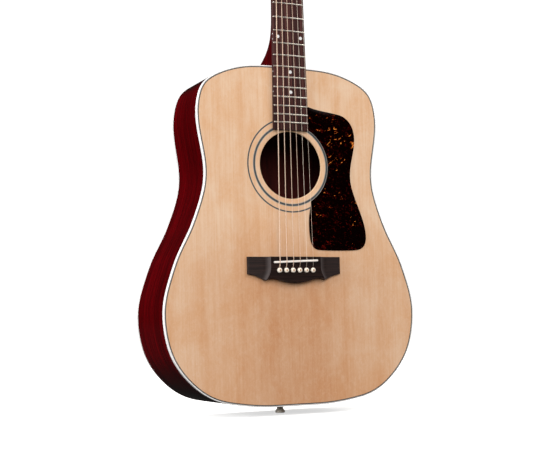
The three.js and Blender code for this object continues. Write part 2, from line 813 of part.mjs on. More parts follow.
// One plate carries three tuners: a base under the gears and a pair of ears for each worm shaft.
function tunerPlate(sign) {
  const back = headThickness + glueLine;
  const across = (near, far) => (sign > 0 ? [near, far] : [-far, -near]);
  const base = block(...across(12.2, 34), back, back + 1.2, postW[0] - 15, postW[2] + 11);
  const mine = postPlaces.filter((place) => place.sign === sign);
  const ears = mine.flatMap(({ x, w }) =>
    [-earX, earX].map((shift) => {
      const at = x + shift;
      const axisW = w - wormOffset;
      const ear = block(at - 0.8, at + 0.8, back + 1, worm.axisY + 2.8, axisW - 3.4, axisW + 3.4);
      return cut(ear, barX(worm.root + 0.2, at - 2, at + 2, worm.axisY, axisW));
    }),
  );
  const holes = mine.map(({ x, w }) => barY(postRadius + 0.4, x, 0, 30, w, 10));
  return cut(join(base, ...ears), ...holes);
}

// ---------------------------------------------------------------- strings
function stringPath(i) {
  const radius = stringRadius[i];
  const pinX = pinXs[i];
  const nutX = (i - 2.5) * nutSpacing;
  const saddleX = pinX;
  const { sign, x, w } = postPlaces[i];
  const perTurn = 8;
  const turns = 1.75;
  const wrap = (postRadius + radius + 0.08) / Math.cos(Math.PI / perTurn);
  const saddleY = saddle.topY + crownDrop(saddleX) - radius - 0.1;
  const nutY = nut.slotY + crownDrop(nutX) - radius - 0.05;
  const path = [
    new THREE.Vector3(pinX, 8, stringEntryZ),
    new THREE.Vector3(pinX, bridge.top + 0.4, stringEntryZ),
    new THREE.Vector3(pinX, bridge.top - 0.6, stringEntryZ + 0.5),
    new THREE.Vector3(saddleX, saddleY + 0.25, saddleZ(saddleX) - 1.2),
    new THREE.Vector3(saddleX, saddleY, saddleZ(saddleX) + 0.6),
    new THREE.Vector3(nutX, nutY, nutZ),
    new THREE.Vector3(nutX, nutY, nutZ + 1),
  ];
  // The string meets the post on its inner side and winds towards the face of the head.
  const start = sign > 0 ? Math.PI : 0;
  for (let k = 0; k <= perTurn * turns; k++) {
    const angle = start + sign * -2 * Math.PI * (k / perTurn);
    const y = -7.6 + (k / perTurn) * (2 * radius + 0.12);
    path.push(toBody(x + wrap * Math.cos(angle), y, w + wrap * Math.sin(angle)));
  }
  return path;
}

function string(i) {
  const line = wire(stringPath(i), stringRadius[i], 5);
  const ball = barX(1.9, pinXs[i] - 1.8, pinXs[i] + 1.8, 7.6, stringEntryZ);
  return join(line, ball);
}

// ---------------------------------------------------------------- assembly
const numbered = (name, i) => `${name}_${i + 1}`;

const box = [
  piece("soundboard", soundboard(), spruce),
  piece("back", backPlate(), mahogany),
  piece("side_bass", side(-1), mahogany),
  piece("side_treble", side(1), mahogany),
  piece("top_binding", cut(ring(0, binding.width, 0, binding.height), mortise), ivoroid),
  piece("back_binding", backBinding(), ivoroid),
  piece("rosette_inner_ring", annulus(rosette.inner, 0, 0, rosette.depth - glueLine), purfling),
  piece("rosette_outer_ring", annulus(rosette.outer, 0, 0, rosette.depth - glueLine), purfling),
  piece("neck_block", cut(endBlock(neckBlockZone), mortise), rawMahogany),
  piece("tail_block", cut(endBlock(tailBlockZone), endPinHole), rawMahogany),
  piece("end_pin", strapPin(), ivoroid),
];

const braces = [
  piece("x_brace_bass", cut(xBrace(1), lapNotch(crossing.y - glueLine, 40)), braceSpruce),
  piece("x_brace_treble", cut(xBrace(-1), lapNotch(0, crossing.y + glueLine)), braceSpruce),
  piece("tone_bar", topBrace(toneBar.from, toneBar.to, toneBar.width, toneBar.height), braceSpruce),
  piece("upper_transverse_brace", transverseBrace(), braceSpruce),
  piece("bridge_plate", bridgePlate(), maple),
  ...backBraces.map((bar, i) => piece(numbered("back_brace", i), backBrace(bar), braceSpruce)),
];

const fittings = [
  piece("pickguard", pickguard(), tortoise),
  piece("bridge", bridgeBody(), rosewood),
  piece("saddle", slantedStrip(0, saddle.topY, bridge.top + 4.8), bone),
  ...pinXs.map((x, i) => piece(numbered("bridge_pin", i), bridgePin(x), ivoroid)),
];

const neckPieces = [
  piece("neck", neck(), mahogany),
  piece("heel_cap", heelCap(), ivoroid),
  piece("fretboard", fretboard(), rosewood),
  piece("frets", join(...fretNumbers.map(oneFret), rail(0)), nickel),
  piece("nut", nutBlock(), bone),
  piece("truss_rod", trussRod(), steel),
  piece("truss_rod_nut", trussRodNut(), brass),
];

const strings = stringRadius.map((_, i) =>
  piece(numbered("string", i), string(i), i < 4 ? bronze : plainSteel),
);

head.add(
  piece("headstock_veneer", headVeneer(), rosewood),
  piece("truss_rod_cover", trussRodCover(), blackPlastic),
  piece("tuner_plate_bass", tunerPlate(-1), nickel),
  piece("tuner_plate_treble", tunerPlate(1), nickel),
  ...postPlaces.map((place, i) => piece(numbered("tuner_post", i), tunerPost(place), nickel)),
  ...postPlaces.map((place, i) => piece(numbered("tuner_button", i), tunerButton(place), nickel)),
);

const guitar = new THREE.Group();
guitar.add(...box, ...braces, ...fittings, ...neckPieces, ...strings, head);
guitar.add(
  piece("top_lining", cut(topLining(), mortise), rawMahogany),
  piece("back_lining", backLining(), rawMahogany),
);

guitar.position.set(0, -endPin.y, endPin.reach);

const part = new THREE.Group();
part.add(guitar);

export default part;
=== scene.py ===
"""Looks of a steel-string acoustic guitar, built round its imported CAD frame.

Lengths in this script are millimetres in the maker's own axes: x to the treble side, y back from the
soundboard's face and z up from the tail. place() turns them into the frame's metres.
"""

import math

import bmesh
import bpy
import numpy as np
from mathutils import Matrix, Vector


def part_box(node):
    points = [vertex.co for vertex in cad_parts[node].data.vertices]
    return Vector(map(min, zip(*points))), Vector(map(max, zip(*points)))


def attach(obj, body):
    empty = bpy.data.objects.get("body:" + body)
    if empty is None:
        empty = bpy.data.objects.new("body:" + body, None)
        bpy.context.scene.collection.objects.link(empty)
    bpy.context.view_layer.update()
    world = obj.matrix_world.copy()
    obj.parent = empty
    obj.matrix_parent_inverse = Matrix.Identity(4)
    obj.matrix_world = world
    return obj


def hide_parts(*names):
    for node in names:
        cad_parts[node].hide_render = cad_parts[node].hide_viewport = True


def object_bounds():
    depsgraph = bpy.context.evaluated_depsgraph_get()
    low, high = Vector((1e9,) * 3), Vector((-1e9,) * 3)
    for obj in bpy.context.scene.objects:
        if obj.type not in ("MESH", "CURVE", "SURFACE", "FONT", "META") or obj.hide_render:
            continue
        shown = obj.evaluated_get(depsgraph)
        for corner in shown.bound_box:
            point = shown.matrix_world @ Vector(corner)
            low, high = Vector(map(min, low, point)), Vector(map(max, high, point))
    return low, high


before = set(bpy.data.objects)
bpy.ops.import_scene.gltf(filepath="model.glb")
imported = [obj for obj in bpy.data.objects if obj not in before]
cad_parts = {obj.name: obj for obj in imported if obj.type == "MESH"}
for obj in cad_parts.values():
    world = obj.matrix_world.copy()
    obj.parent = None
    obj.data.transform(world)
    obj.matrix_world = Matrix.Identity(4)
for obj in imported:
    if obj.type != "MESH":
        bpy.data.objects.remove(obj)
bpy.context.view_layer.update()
scene = bpy.context.scene

# ------------------------------------------------------------------ sizes
FACE_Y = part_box("soundboard")[0].y * 1000  # the frame's y of the soundboard's face
TAIL_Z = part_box("top_binding")[0].z * 1000  # the frame's z of the body's tail
BODY_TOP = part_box("top_binding")[1].z * 1000 - TAIL_Z

OUTLINE_POINTS = 288
BINDING = 1.5  # width of the white edge strip, seen from the front
BACK_BINDING = 2.4  # and seen from the back
BINDING_HEIGHT = (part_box("top_binding")[1].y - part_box("top_binding")[0].y) * 1000
PURFLING = (0.55, 0.2, 1.1)  # dark, light and dark lines inside the top binding
BACK_PURFLING = 0.9
INLAY_DEPTH = 1.2
PROUD = 0.02  # how far an inlaid line stands out, so that no two faces meet
PLATE = 2.8  # thickness of soundboard and back
SIDE = 2.0
HOLLOW_Y = 55  # depth of the hollow's middle
HOLE_Z, HOLE_R = 357.3, 50.8
HOLE_ROUND = 0.8  # how far its front edge is rounded over
ROSETTE_INNER = (58.2, 59.0, 61.4, 62.2)  # radii where light and dark bands meet
ROSETTE_OUTER = (69.2, 69.45, 71.25, 71.5)

SCALE_END = 216.0  # the scale starts at the nut and ends here, at the saddle
SCALE = 651.0
NUT_Z = SCALE_END + SCALE
NUT_LENGTH = 5.5
NUT_FLOOR = -7.9
FRETS = 20
CROWN_RADIUS = 406.0
BOARD_END_Z = SCALE_END + 193.6
BOARD_HALF = (21.5, 28.8)  # half widths at the nut and at the sound hole
BOARD_TOP = -6.4

BRIDGE_HALF = 76.0
BRIDGE_FRONT = 3.5  # its upper and lower edges, from the scale's end
BRIDGE_WING_LOW = -22.0
BRIDGE_BELLY_LOW = -35.4
BRIDGE_TOP = -9.0
BRIDGE_ROUND = 0.9
BLOCK_HALF = 41.0  # the raised middle block, at its upper edge
CUSP = (48.5, -31.2)  # where the belly meets a wing
WING_FALL = ((0, 9.0), (0.6, 7.7), (2.5, 6.3), (6, 5.4), (13, 4.9), (35, 4.4))  # heights out from it
SADDLE_HALF = 36.5
SADDLE_TOP = -12.0
PIN_Z = SCALE_END - 16.7
PIN_XS = [(i - 2.5) * 11.0 for i in range(6)]
STRING_ENTRY_Z = PIN_Z + 5
STRING_RADII = (0.67, 0.53, 0.41, 0.30, 0.20, 0.15)
WOUND_STRINGS = 4
NUT_XS = [(i - 2.5) * 7.12 for i in range(6)]
END_PIN_Y = 60.0

HEEL_Z = BODY_TOP + 0.4
HEEL_DEPTH = 94.5
HEEL_HALF = 13.5
HEEL_SWEEP = (30.0, 1.5)  # how far up the neck the heel reaches, and how sharply it falls away
HEEL_BLEND = (44.0, 1.6)  # the same for the change from the heel's section to the shaft's
HEEL_CAP = (12.0, 2.2)  # length up the neck, thickness
SHAFT_DEPTH = (14.5, 16.5)  # at the nut and at the body
TURNS = 40  # stations round the back of a neck section

HEAD_PITCH = math.radians(14)
HEAD_Z = NUT_Z + NUT_LENGTH
HEAD_THICK = 14.5
HEAD_TIP = 184.0
VENEER = 1.6
COVER_STEP = VENEER + 0.7  # where the rod cover's light layer meets its black one
COVER_TOP = VENEER + 1.7
COVER_TIP = 30.5
POST_WS = (42.0, 84.0, 126.0)
POST_XS = (20.5, 21.5, 22.5)
POST_R = 3.1
GEAR_TEETH = 14
GEAR_PITCH_R = 6.2
GEAR_HALF = 1.2
WORM_Y = 19.2
WORM_DROP = 8.65
EAR_X = 7.8
EAR_HALF = 3.4
POSTS = [(-1, -x, w) for x, w in zip(POST_XS, POST_WS)]  # side, x and w in the order of the strings
POSTS += [(1, x, w) for x, w in zip(POST_XS[::-1], POST_WS[::-1])]


# ------------------------------------------------------------------ mesh helpers
def place(points):
    """Maker's millimetres to the frame's metres."""
    moved = np.asarray(points, float) + (0, FACE_Y, TAIL_Z)
    return (moved / 1000).tolist()


def from_head(points):
    """Points of the head's own frame (x, y out of its back, w up its slope) in the maker's axes."""
    x, y, w = np.moveaxis(np.asarray(points, float), -1, 0)
    c, s = math.cos(HEAD_PITCH), math.sin(HEAD_PITCH)
    return np.stack([x, y * c + w * s, HEAD_Z - y * s + w * c], -1)


def at_head(x, y, w):
    return Vector(from_head((x, y, w)))


OUT_OF_BACK = Vector((0, math.cos(HEAD_PITCH), -math.sin(HEAD_PITCH)))
OUT_OF_FACE = -OUT_OF_BACK


def piece(name, shells, materials, node=None, body="guitar", sharp=35, mark=None):
    """A piece from closed (points, faces) shells. mark(centre, normal) picks each face's material."""
    points, faces = [], []
    for shell, shell_faces in shells:
        start = len(points)
        points += np.asarray(shell, float).reshape(-1, 3).tolist()
        faces += [[i + start for i in f] for f in shell_faces]
    mesh = bpy.data.meshes.new(name)
    mesh.from_pydata(place(points), [], faces)
    bm = bmesh.new()
    bm.from_mesh(mesh)
    bmesh.ops.remove_doubles(bm, verts=bm.verts, dist=1e-7)
    bmesh.ops.recalc_face_normals(bm, faces=bm.faces)
    bm.to_mesh(mesh)
    bm.free()
    for material in materials if isinstance(materials, list) else [materials]:
        mesh.materials.append(material)
    if mark:
        for p in mesh.polygons:
            centre = p.center * 1000 - Vector((0, FACE_Y, TAIL_Z))
            p.material_index = int(mark(centre, p.normal))
    mesh.shade_smooth()
    mesh.set_sharp_from_angle(angle=math.radians(sharp))
    obj = bpy.data.objects.new(name, mesh)
    scene.collection.objects.link(obj)
    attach(obj, body)
    if node:
        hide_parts(node)
    return obj


def circle(count):
    """Angles of evenly spaced points round a circle."""
    return [2 * math.pi * k / count for k in range(count)]


def skin(sections, closed=False):
    """Faces over an array of closed loops (sections, corners, 3), capped unless the row is closed."""
    s = np.asarray(sections, float)
    rows, count = s.shape[:2]
    faces = []
    for r in range(rows if closed else rows - 1):
        a, b = r * count, ((r + 1) % rows) * count
        for i in range(count):
            j = (i + 1) % count
            faces.append((a + i, a + j, b + j, b + i))
    if not closed:
        faces.append(tuple(range(count))[::-1])
        faces.append(tuple(range((rows - 1) * count, rows * count)))
    return s.reshape(-1, 3), faces


def lathe(profile, origin, axis, sides=32):
    """Revolves (radius, along) points, which start and end on the axis."""
    axis = Vector(axis).normalized()
    across = axis.orthogonal().normalized()
    over = axis.cross(across)
    points, faces = [], []
    for r, a in profile[1:-1]:
        middle = Vector(origin) + axis * a
        points += [middle + (across * math.cos(t) + over * math.sin(t)) * r for t in circle(sides)]
    last = len(points) - sides
    for k in range(sides):
        n = (k + 1) % sides
        for a in range(0, last, sides):
            faces.append((a + k, a + n, a + sides + n, a + sides + k))
        faces += [(len(points), k, n), (len(points) + 1, last + k, last + n)]
    points += [Vector(origin) + axis * end[1] for end in (profile[0], profile[-1])]
    return [tuple(p) for p in points], faces


def rounded(path, radius, steps=3):
    """A path with its corners rounded off."""
    path = [np.array(p, float) for p in path]
    made = [path[0]]
    for a, p, b in zip(path, path[1:], path[2:]):
        back, on = a - p, b - p
        reach = min(radius, np.linalg.norm(back) * 0.45, np.linalg.norm(on) * 0.45)
        start = p + back / np.linalg.norm(back) * reach
        end = p + on / np.linalg.norm(on) * reach
        for t in np.linspace(0, 1, steps + 1):
            made.append((1 - t) ** 2 * start + 2 * t * (1 - t) * p + t * t * end)
    return made + [path[-1]]


def quarter(radius, turns):
    """A rounded edge as (in, down) pairs from its face on: at these angles, or in so many even steps."""
    if isinstance(turns, int):
        turns = np.linspace(0, math.pi / 2, turns + 1)
    return [(radius * (1 - math.sin(t)), radius * (1 - math.cos(t))) for t in turns]


def curves(start, *spans):
    """Points of joined cubics without their last one. A span is two handles, its end and a count."""
    made = []
    p0 = np.array(start, float)
    for span in spans:
        p1, p2, p3 = (np.array(p, float) for p in span[:3])
        t = np.linspace(0, 1, span[3], endpoint=False)[:, None]
        made.append((1 - t) ** 3 * p0 + 3 * t * (1 - t) ** 2 * p1 + 3 * t * t * (1 - t) * p2 + t**3 * p3)
        p0 = p3
    return np.vstack(made)


def both_sides(half, tip):
    """A closed loop from its right half and the height of its tip."""
    return np.vstack([half, [(0, tip)], half[::-1] * (-1, 1)])


def along_path(path, shares):
    """Points at shares of a polyline's length."""
    travelled = np.concatenate([[0], np.cumsum(np.linalg.norm(np.diff(path, axis=0), axis=1))])
    at = shares * travelled[-1]
    return np.stack([np.interp(at, travelled, path[:, k]) for k in (0, 1)], 1)


def outward(loop):
    """Normals of a closed loop of (x, z) points away from its inside, stretched at its corners."""
    loop = np.asarray(loop, float)
    area = np.sum(loop[:, 0] * np.roll(loop[:, 1], -1) - np.roll(loop[:, 0], -1) * loop[:, 1])
    into = loop - np.roll(loop, 1, 0)
    into /= np.linalg.norm(into, axis=1)[:, None]
    along = into + np.roll(into, -1, 0)
    along /= np.linalg.norm(along, axis=1)[:, None]
    normal = np.stack([along[:, 1], -along[:, 0]], 1) * (1 if area > 0 else -1)
    stretch = np.clip(np.sum(into * along, 1), 0.5, 1)
    return normal / stretch[:, None]


def standing(flat, y):
    """(x, z) points at a depth, as 3-D points."""
    flat = np.asarray(flat, float)
    return np.stack([flat[:, 0], np.broadcast_to(y, len(flat)), flat[:, 1]], 1)


def slab(loop, front, back, front_round=0.0, back_round=0.0, steps=3):
    """A plate from a loop of (x, z) points between two depths, with its edges rounded over."""
    normal = outward(loop)
    levels = [(i, front + d) for i, d in (quarter(front_round, steps) if front_round else [(0, 0)])]
    levels += [(i, back - d) for i, d in (quarter(back_round, steps)[::-1] if back_round else [(0, 0)])]
    return skin([standing(loop - normal * i, y) for i, y in levels])


def tube(points, radius, sides=12):
    """A round wire along a row of points, its frame carried without twist."""
    p = np.asarray(points, float)
    step = np.diff(p, axis=0)
    step /= np.linalg.norm(step, axis=1)[:, None]
    along = np.vstack([step[:1], step[:-1] + step[1:], step[-1:]])
    along /= np.linalg.norm(along, axis=1)[:, None]
    across = np.cross(along[0], (0.3, 1, 0.2))
    t = np.array(circle(sides))[:, None]
    sections = []
    for here, d in zip(p, along):
        across = across - d * np.dot(across, d)
        across /= np.linalg.norm(across)
        sections.append(here + radius * (np.cos(t) * across + np.sin(t) * np.cross(d, across)))
    return skin(sections)


# ------------------------------------------------------------------ material helpers
def paint(colour):
    """An sRGB colour, 0 to 255, as the linear colour that nodes take."""
    shares = [c / 255 for c in colour]
    return tuple(c / 12.92 if c <= 10 / 255 else ((c + 0.055) / 1.055) ** 2.4 for c in shares) + (1,)


class Graph:
    """Nodes of a tree. Where a colour is asked for, three numbers are sRGB and four are linear."""

    def __init__(self, tree):
        self.tree = tree

    def feed(self, socket, value):
        if isinstance(value, bpy.types.NodeSocket):
            self.tree.links.new(value, socket)
        else:
            socket.default_value = value

    def node(self, kind, inputs=(), **settings):
        made = self.tree.nodes.new(kind)
        for key, value in settings.items():
            setattr(made, key, value)
        for key, value in dict(inputs).items():
            self.feed(made.inputs[key], value)
        return made

    def mix(self, share, a, b, blend="MIX", kind="RGBA"):
        made = self.node("ShaderNodeMix", {0: share}, data_type=kind, blend_type=blend)
        carries = "RGBA" if kind == "RGBA" else "VALUE"
        for key, value in (("A", a), ("B", b)):
            socket = next(i for i in made.inputs if i.name == key and i.type == carries)
            self.feed(socket, paint(value) if isinstance(value, tuple) and len(value) == 3 else value)
        return next(o for o in made.outputs if o.type == carries)


class Finish(Graph):
    """A principled material fed by small procedural graphs."""

    def __init__(self, name, roughness=0.4, metallic=0.0, coat=0.0, specular=0.5):
        self.material = bpy.data.materials.new(name)
        self.material.use_nodes = True
        super().__init__(self.material.node_tree)
        self.shader = self.tree.nodes["Principled BSDF"]
        self.put("Roughness", roughness)
        self.put("Metallic", metallic)
        self.put("Coat Weight", coat)
        self.put("Coat Roughness", 0.06)
        self.put("Specular IOR Level", specular)

    def put(self, name, value):
        self.feed(self.shader.inputs[name], value)

    def coords(self, scale, mirror=False):
        """Places in the object's own frame, stretched. mirror folds the two halves on to each other."""
        where = self.node("ShaderNodeTexCoord").outputs["Object"]
        if mirror:
            where = self.node("ShaderNodeVectorMath", {0: where}, operation="ABSOLUTE").outputs[0]
        return self.node("ShaderNodeVectorMath", {0: where, 1: scale}, operation="MULTIPLY").outputs[0]

    def slanted(self, scale, turn):
        """The same with the pattern leaning over in the plane of the soundboard."""
        lean = {"Vector": self.coords((1, 1, 1)), "Axis": (0, 1, 0), "Angle": turn}
        leaning = self.node("ShaderNodeVectorRotate", lean).outputs["Vector"]
        return self.node("ShaderNodeVectorMath", {0: leaning, 1: scale}, operation="MULTIPLY").outputs[0]

    def part(self, vector, axis):
        return self.node("ShaderNodeSeparateXYZ", {0: vector}).outputs[axis]

    def place(self, axis, mirror=False):
        """A place along one axis, in metres."""
        return self.part(self.coords((1, 1, 1), mirror), axis)

    def facing(self, axis):
        return self.part(self.node("ShaderNodeTexCoord").outputs["Normal"], axis)

    def noise(self, vector, scale=1.0, detail=3.0, roughness=0.55, distortion=0.0):
        inputs = {"Vector": vector, "Scale": scale, "Detail": detail}
        inputs.update({"Roughness": roughness, "Distortion": distortion})
        return self.node("ShaderNodeTexNoise", inputs).outputs["Fac"]

    def ramp(self, value, *stops):
        """Colours (or grey levels) at places along a value."""
        made = self.node("ShaderNodeValToRGB", {"Fac": value})
        bar = made.color_ramp.elements
        while len(bar) < len(stops):
            bar.new(0.5)
        for element, (at, colour) in zip(bar, stops):
            element.position = at
            element.color = paint(colour) if isinstance(colour, tuple) else (colour, colour, colour, 1)
        return made.outputs["Color"]

    def calc(self, operation, *values):
        return self.node("ShaderNodeMath", dict(enumerate(values)), operation=operation).outputs[0]

    def times(self, colour, other):
        return self.mix(1.0, colour, other, "MULTIPLY")

    def bump(self, height, distance, strength=1.0):
        inputs = {"Height": height, "Distance": distance, "Strength": strength}
        self.put("Normal", self.node("ShaderNodeBump", inputs).outputs["Normal"])


# ------------------------------------------------------------------ woods
def spruce_top():
    """Bookmatched spruce under clear lacquer: growth lines, bands and silk, with painted shade that runs
    darker and redder towards the tail and the middle.
    """
    f = Finish("spruce_top", roughness=0.5, coat=0.08, specular=0.2)
    near_neck, shaded_tail_tone = (236, 204, 174), (208, 162, 126)
    lines = f.noise(f.coords((620, 40, 9), True), detail=2, distortion=0.2)
    bands = f.noise(f.coords((60, 8, 5), True), detail=4, distortion=0.6)
    clouds = f.noise(f.coords((22, 9, 15)), detail=4, roughness=0.6, distortion=0.5)
    silk = f.noise(f.coords((230, 60, 150)), detail=4, roughness=0.7, distortion=1.2)
    height, across = f.place("Z", True), f.place("X", True)
    # painted shade: the colour goes darker and redder towards the tail and the middle line
    tail = f.ramp(height, (0.05, 1.0), (0.2, 0.85), (0.25, 0.45), (0.29, 0.15), (0.46, 0.0))
    tail = f.calc("MULTIPLY", tail, f.ramp(across, (0.03, 1.0), (0.1, 0.65), (0.18, 0.4)))
    base = f.mix(tail, near_neck, shaded_tail_tone)
    base = f.mix(f.ramp(clouds, (0.35, 0.0), (0.65, 0.9)), base, f.times(base, (248, 232, 214)))
    deep = f.times(base, (243, 224, 202))
    base = f.mix(f.ramp(bands, (0.45, 0.0), (0.7, 0.5)), base, deep)
    base = f.mix(f.ramp(lines, (0.45, 0.0), (0.72, 0.5)), base, deep)
    pale = f.mix(1.0, base, (255, 240, 226), "SCREEN")
    f.put("Base Color", f.mix(f.ramp(silk, (0.45, 0.0), (0.7, 0.1)), base, pale))
    f.bump(lines, 0.00002, 0.25)
    return f.material


def bare_wood(name, light, dark, grain):
    """Planed wood with no finish, its grain along the smallest scale."""
    f = Finish(name, roughness=0.75, specular=0.2)
    lines = f.noise(f.coords(grain), detail=4)
    patches = f.noise(f.coords((14, 14, 14)), detail=2)
    colour = f.mix(f.ramp(lines, (0.4, 0.0), (0.7, 0.8)), light, dark)
    f.put("Base Color", f.mix(f.ramp(patches, (0.3, 0.0), (0.8, 0.3)), colour, dark))
    f.bump(lines, 0.00008, 0.5)
    return f.material


def red_mahogany(name, grain, painted_shade=False):
    """Deep red stain on mahogany, with ribbons and short dark pores; painted shade can darken faces that
    turn up or down, as over the bends.
    """
    f = Finish(name, roughness=0.22, specular=0.015)
    ribbon = f.noise(f.coords(tuple(g * 0.16 for g in grain)), detail=3, distortion=0.5)
    streak = f.noise(f.coords(grain), detail=4, roughness=0.6)
    pores = f.noise(f.coords(tuple(g * 4 if g == max(grain) else g * 9 for g in grain)), detail=1)
    colour = f.ramp(ribbon, (0.3, (66, 0, 3)), (0.7, (94, 0, 5)))
    colour = f.mix(f.ramp(streak, (0.42, 0.0), (0.7, 0.9)), colour, (35, 0, 2))
    colour = f.mix(f.ramp(pores, (0.6, 0.0), (0.72, 0.6)), colour, (16, 0, 1))
    if painted_shade:
        # painted shade: faces that turn up or down are darkened
        slope = f.calc("ABSOLUTE", f.facing("Z"))
        colour = f.times(colour, f.ramp(slope, (0.4, 1.0), (0.62, 0.5), (0.85, 0.1)))
    f.put("Base Color", colour)
    f.bump(streak, 0.00002, 0.2)
    return f.material


def dark_rosewood(name, tones, roughness, coat=0.0, grain=(420, 420, 5), sideways_sheen=False, darker_below=None):
    """Open-grained rosewood with long streaks; tones run from light to dark.

    A painted highlight, a grey sheen on faces that slope sideways, as on the bridge, and a faint grey on
    the flat wings, can be switched on;
    and a pair of heights (in metres) can be given, between which the wood goes from darker to plain.
    """
    f = Finish(name, roughness=roughness, coat=coat, specular=0.12)
    light, mid, dark = tones
    streak = f.noise(f.coords(grain), detail=4, roughness=0.65, distortion=0.3)
    fine = f.noise(f.coords(tuple(g * 3 for g in grain)), detail=3)
    colour = f.ramp(streak, (0.33, dark), (0.5, mid), (0.68, light))
    colour = f.mix(f.ramp(fine, (0.5, 0.0), (0.72, 0.6)), colour, dark)
    if sideways_sheen:
        # painted highlight: a grey sheen on faces that slope sideways, and a faint grey on the flat
        # wings
        tilt, across = f.calc("ABSOLUTE", f.facing("X")), f.place("X", True)
        sheen = f.ramp(tilt, (0.03, 0.0), (0.25, 0.35), (0.5, 0.58), (0.93, 0.58), (0.97, 0.0))
        sheen = f.calc("MULTIPLY", sheen, f.ramp(across, (0.066, 1.0), (0.073, 0.0)))
        sheen = f.calc("MAXIMUM", sheen, f.ramp(across, (0.047, 0.0), (0.052, 0.12)))
        colour = f.mix(sheen, colour, (98, 90, 90))
    if darker_below:
        # the wood goes darker below the given heights
        colour = f.times(colour, f.ramp(f.place("Z"), (darker_below[0], 0.5), (darker_below[1], 1.0)))
    f.put("Base Color", colour)
    f.put("Roughness", f.ramp(fine, (0.3, roughness - 0.08), (0.8, roughness + 0.12)))
    f.bump(fine, 0.00006, 0.5)
    return f.material


# ------------------------------------------------------------------ plastics, bone and metals
def moulded(name, colour, shade, roughness=0.25, coat=0.3, painted_shade=False):
    """Polished plastic or bone, faintly cloudy, with hairline scuffs; it can carry painted shade that
    darkens faces turned downwards.
    """
    f = Finish(name, coat=coat)
    cloud = f.noise(f.coords((90, 90, 90)), detail=3)
    scuff = f.noise(f.coords((900, 900, 160)), detail=4, roughness=0.7)
    base = f.ramp(cloud, (0.35, colour), (0.75, shade))
    if painted_shade:
        # painted shade: faces that turn downwards are darkened
        upward = f.calc("MULTIPLY", f.calc("ADD", f.facing("Z"), 1.0), 0.5)
        base = f.times(base, f.ramp(upward, (0.06, 0.35), (0.3, 1.0)))
    f.put("Base Color", base)
    f.put("Roughness", f.ramp(scuff, (0.4, roughness * 0.8), (0.75, roughness * 1.5)))
    return f.material


def tortoise():
    """Near-black celluloid with red specks and torn amber flecks, most of them beside the hole."""
    f = Finish("tortoise", roughness=0.08, specular=0.04)
    where = f.coords((1, 1, 1))
    drift = f.noise(where, scale=38, detail=2)
    torn = f.noise(f.slanted((90, 90, 240), 0.55), detail=4, roughness=0.5, distortion=1.4)
    speck = f.noise(f.slanted((170, 170, 360), -0.5), detail=3, roughness=0.6, distortion=1.6)
    patch = f.noise(where, scale=55, detail=3, distortion=1.0)
    beside_hole = ((0.3, 0.1), (0.36, 0.3), (0.378, 1.0), (0.412, 1.0), (0.436, 0.4))
    beside_hole = f.ramp(f.part(where, "Z"), *beside_hole)
    patch = f.ramp(patch, (0.42, 0.2), (0.6, 1.0))
    speck = f.calc("MULTIPLY", f.ramp(speck, (0.61, 0.0), (0.68, 1.0)), patch)
    colour = f.mix(speck, (5, 0, 0), (116, 20, 10))
    torn = f.calc("ADD", torn, f.calc("MULTIPLY", beside_hole, 0.07))
    torn = f.calc("ADD", torn, f.calc("MULTIPLY", f.ramp(drift, (0.42, 0.0), (0.6, 1.0)), 0.06))
    amber = f.ramp(torn, (0.745, 0.0), (0.762, 1.0))
    tone = f.ramp(torn, (0.757, (176, 52, 14)), (0.8, (240, 156, 64)))
    f.put("Base Color", f.mix(amber, colour, tone))
    return f.material


def metal(name, colour, shade, roughness, bump=0.0, metallic=1.0):
    """Plated or bare metal with soft tarnish and fine rubbing marks."""
    f = Finish(name, metallic=metallic)
    cloud = f.noise(f.coords((60, 60, 60)), detail=4, roughness=0.6)
    rub = f.noise(f.coords((1500, 1500, 300)), detail=3)
    f.put("Base Color", f.ramp(cloud, (0.35, colour), (0.8, shade)))
    f.put("Roughness", f.ramp(rub, (0.3, roughness * 0.75), (0.8, roughness * 1.5)))
    if bump:
        f.bump(rub, bump, 0.4)
    return f.material


def wound_bronze():
    """Bronze wrap wire round a steel core: close turns along the string, with painted shade in the gaps
    between turns.
    """
    f = Finish("bronze_wound", roughness=0.4, metallic=0.2)
    wire = 0.00035
    turns = f.calc("SINE", f.calc("MULTIPLY", f.place("Z"), 2 * math.pi / wire))
    level = f.calc("MULTIPLY_ADD", turns, 0.5, 0.5)
    # painted shade: the gaps between the turns are coloured darker than their crests
    f.put("Base Color", f.ramp(level, (0.0, (172, 136, 112)), (0.6, (252, 224, 200))))
    f.bump(level, 0.00006, 0.5)
    return f.material


def pearl():
    f = Finish("pearl", roughness=0.2, coat=0.4)
    swirl = f.noise(f.coords((400, 400, 400)), detail=3, distortion=2.5)
    colours = ((0.35, (214, 216, 220)), (0.55, (250, 250, 250)), (0.75, (232, 228, 236)))
    f.put("Base Color", f.ramp(swirl, *colours))
    return f.material


SPRUCE = spruce_top()
# bare spruce for the sound hole's wall, coloured much paler than the braces' spruce as a painted
# highlight
LIT_HOLE_WALL = bare_wood("spruce_edge_painted_highlight", (255, 222, 184), (244, 200, 156), (500, 500, 500))
BRACE_WOOD = bare_wood("spruce_bare", (214, 188, 148), (176, 142, 98), (300, 300, 300))
# red mahogany sides, with painted shade on faces that turn up or down
RED_SIDE = red_mahogany("mahogany_side", (14, 420, 14), painted_shade=True)
RED_BACK = red_mahogany("mahogany_back", (330, 14, 10))
RED_NECK = red_mahogany("mahogany_neck", (330, 330, 8))
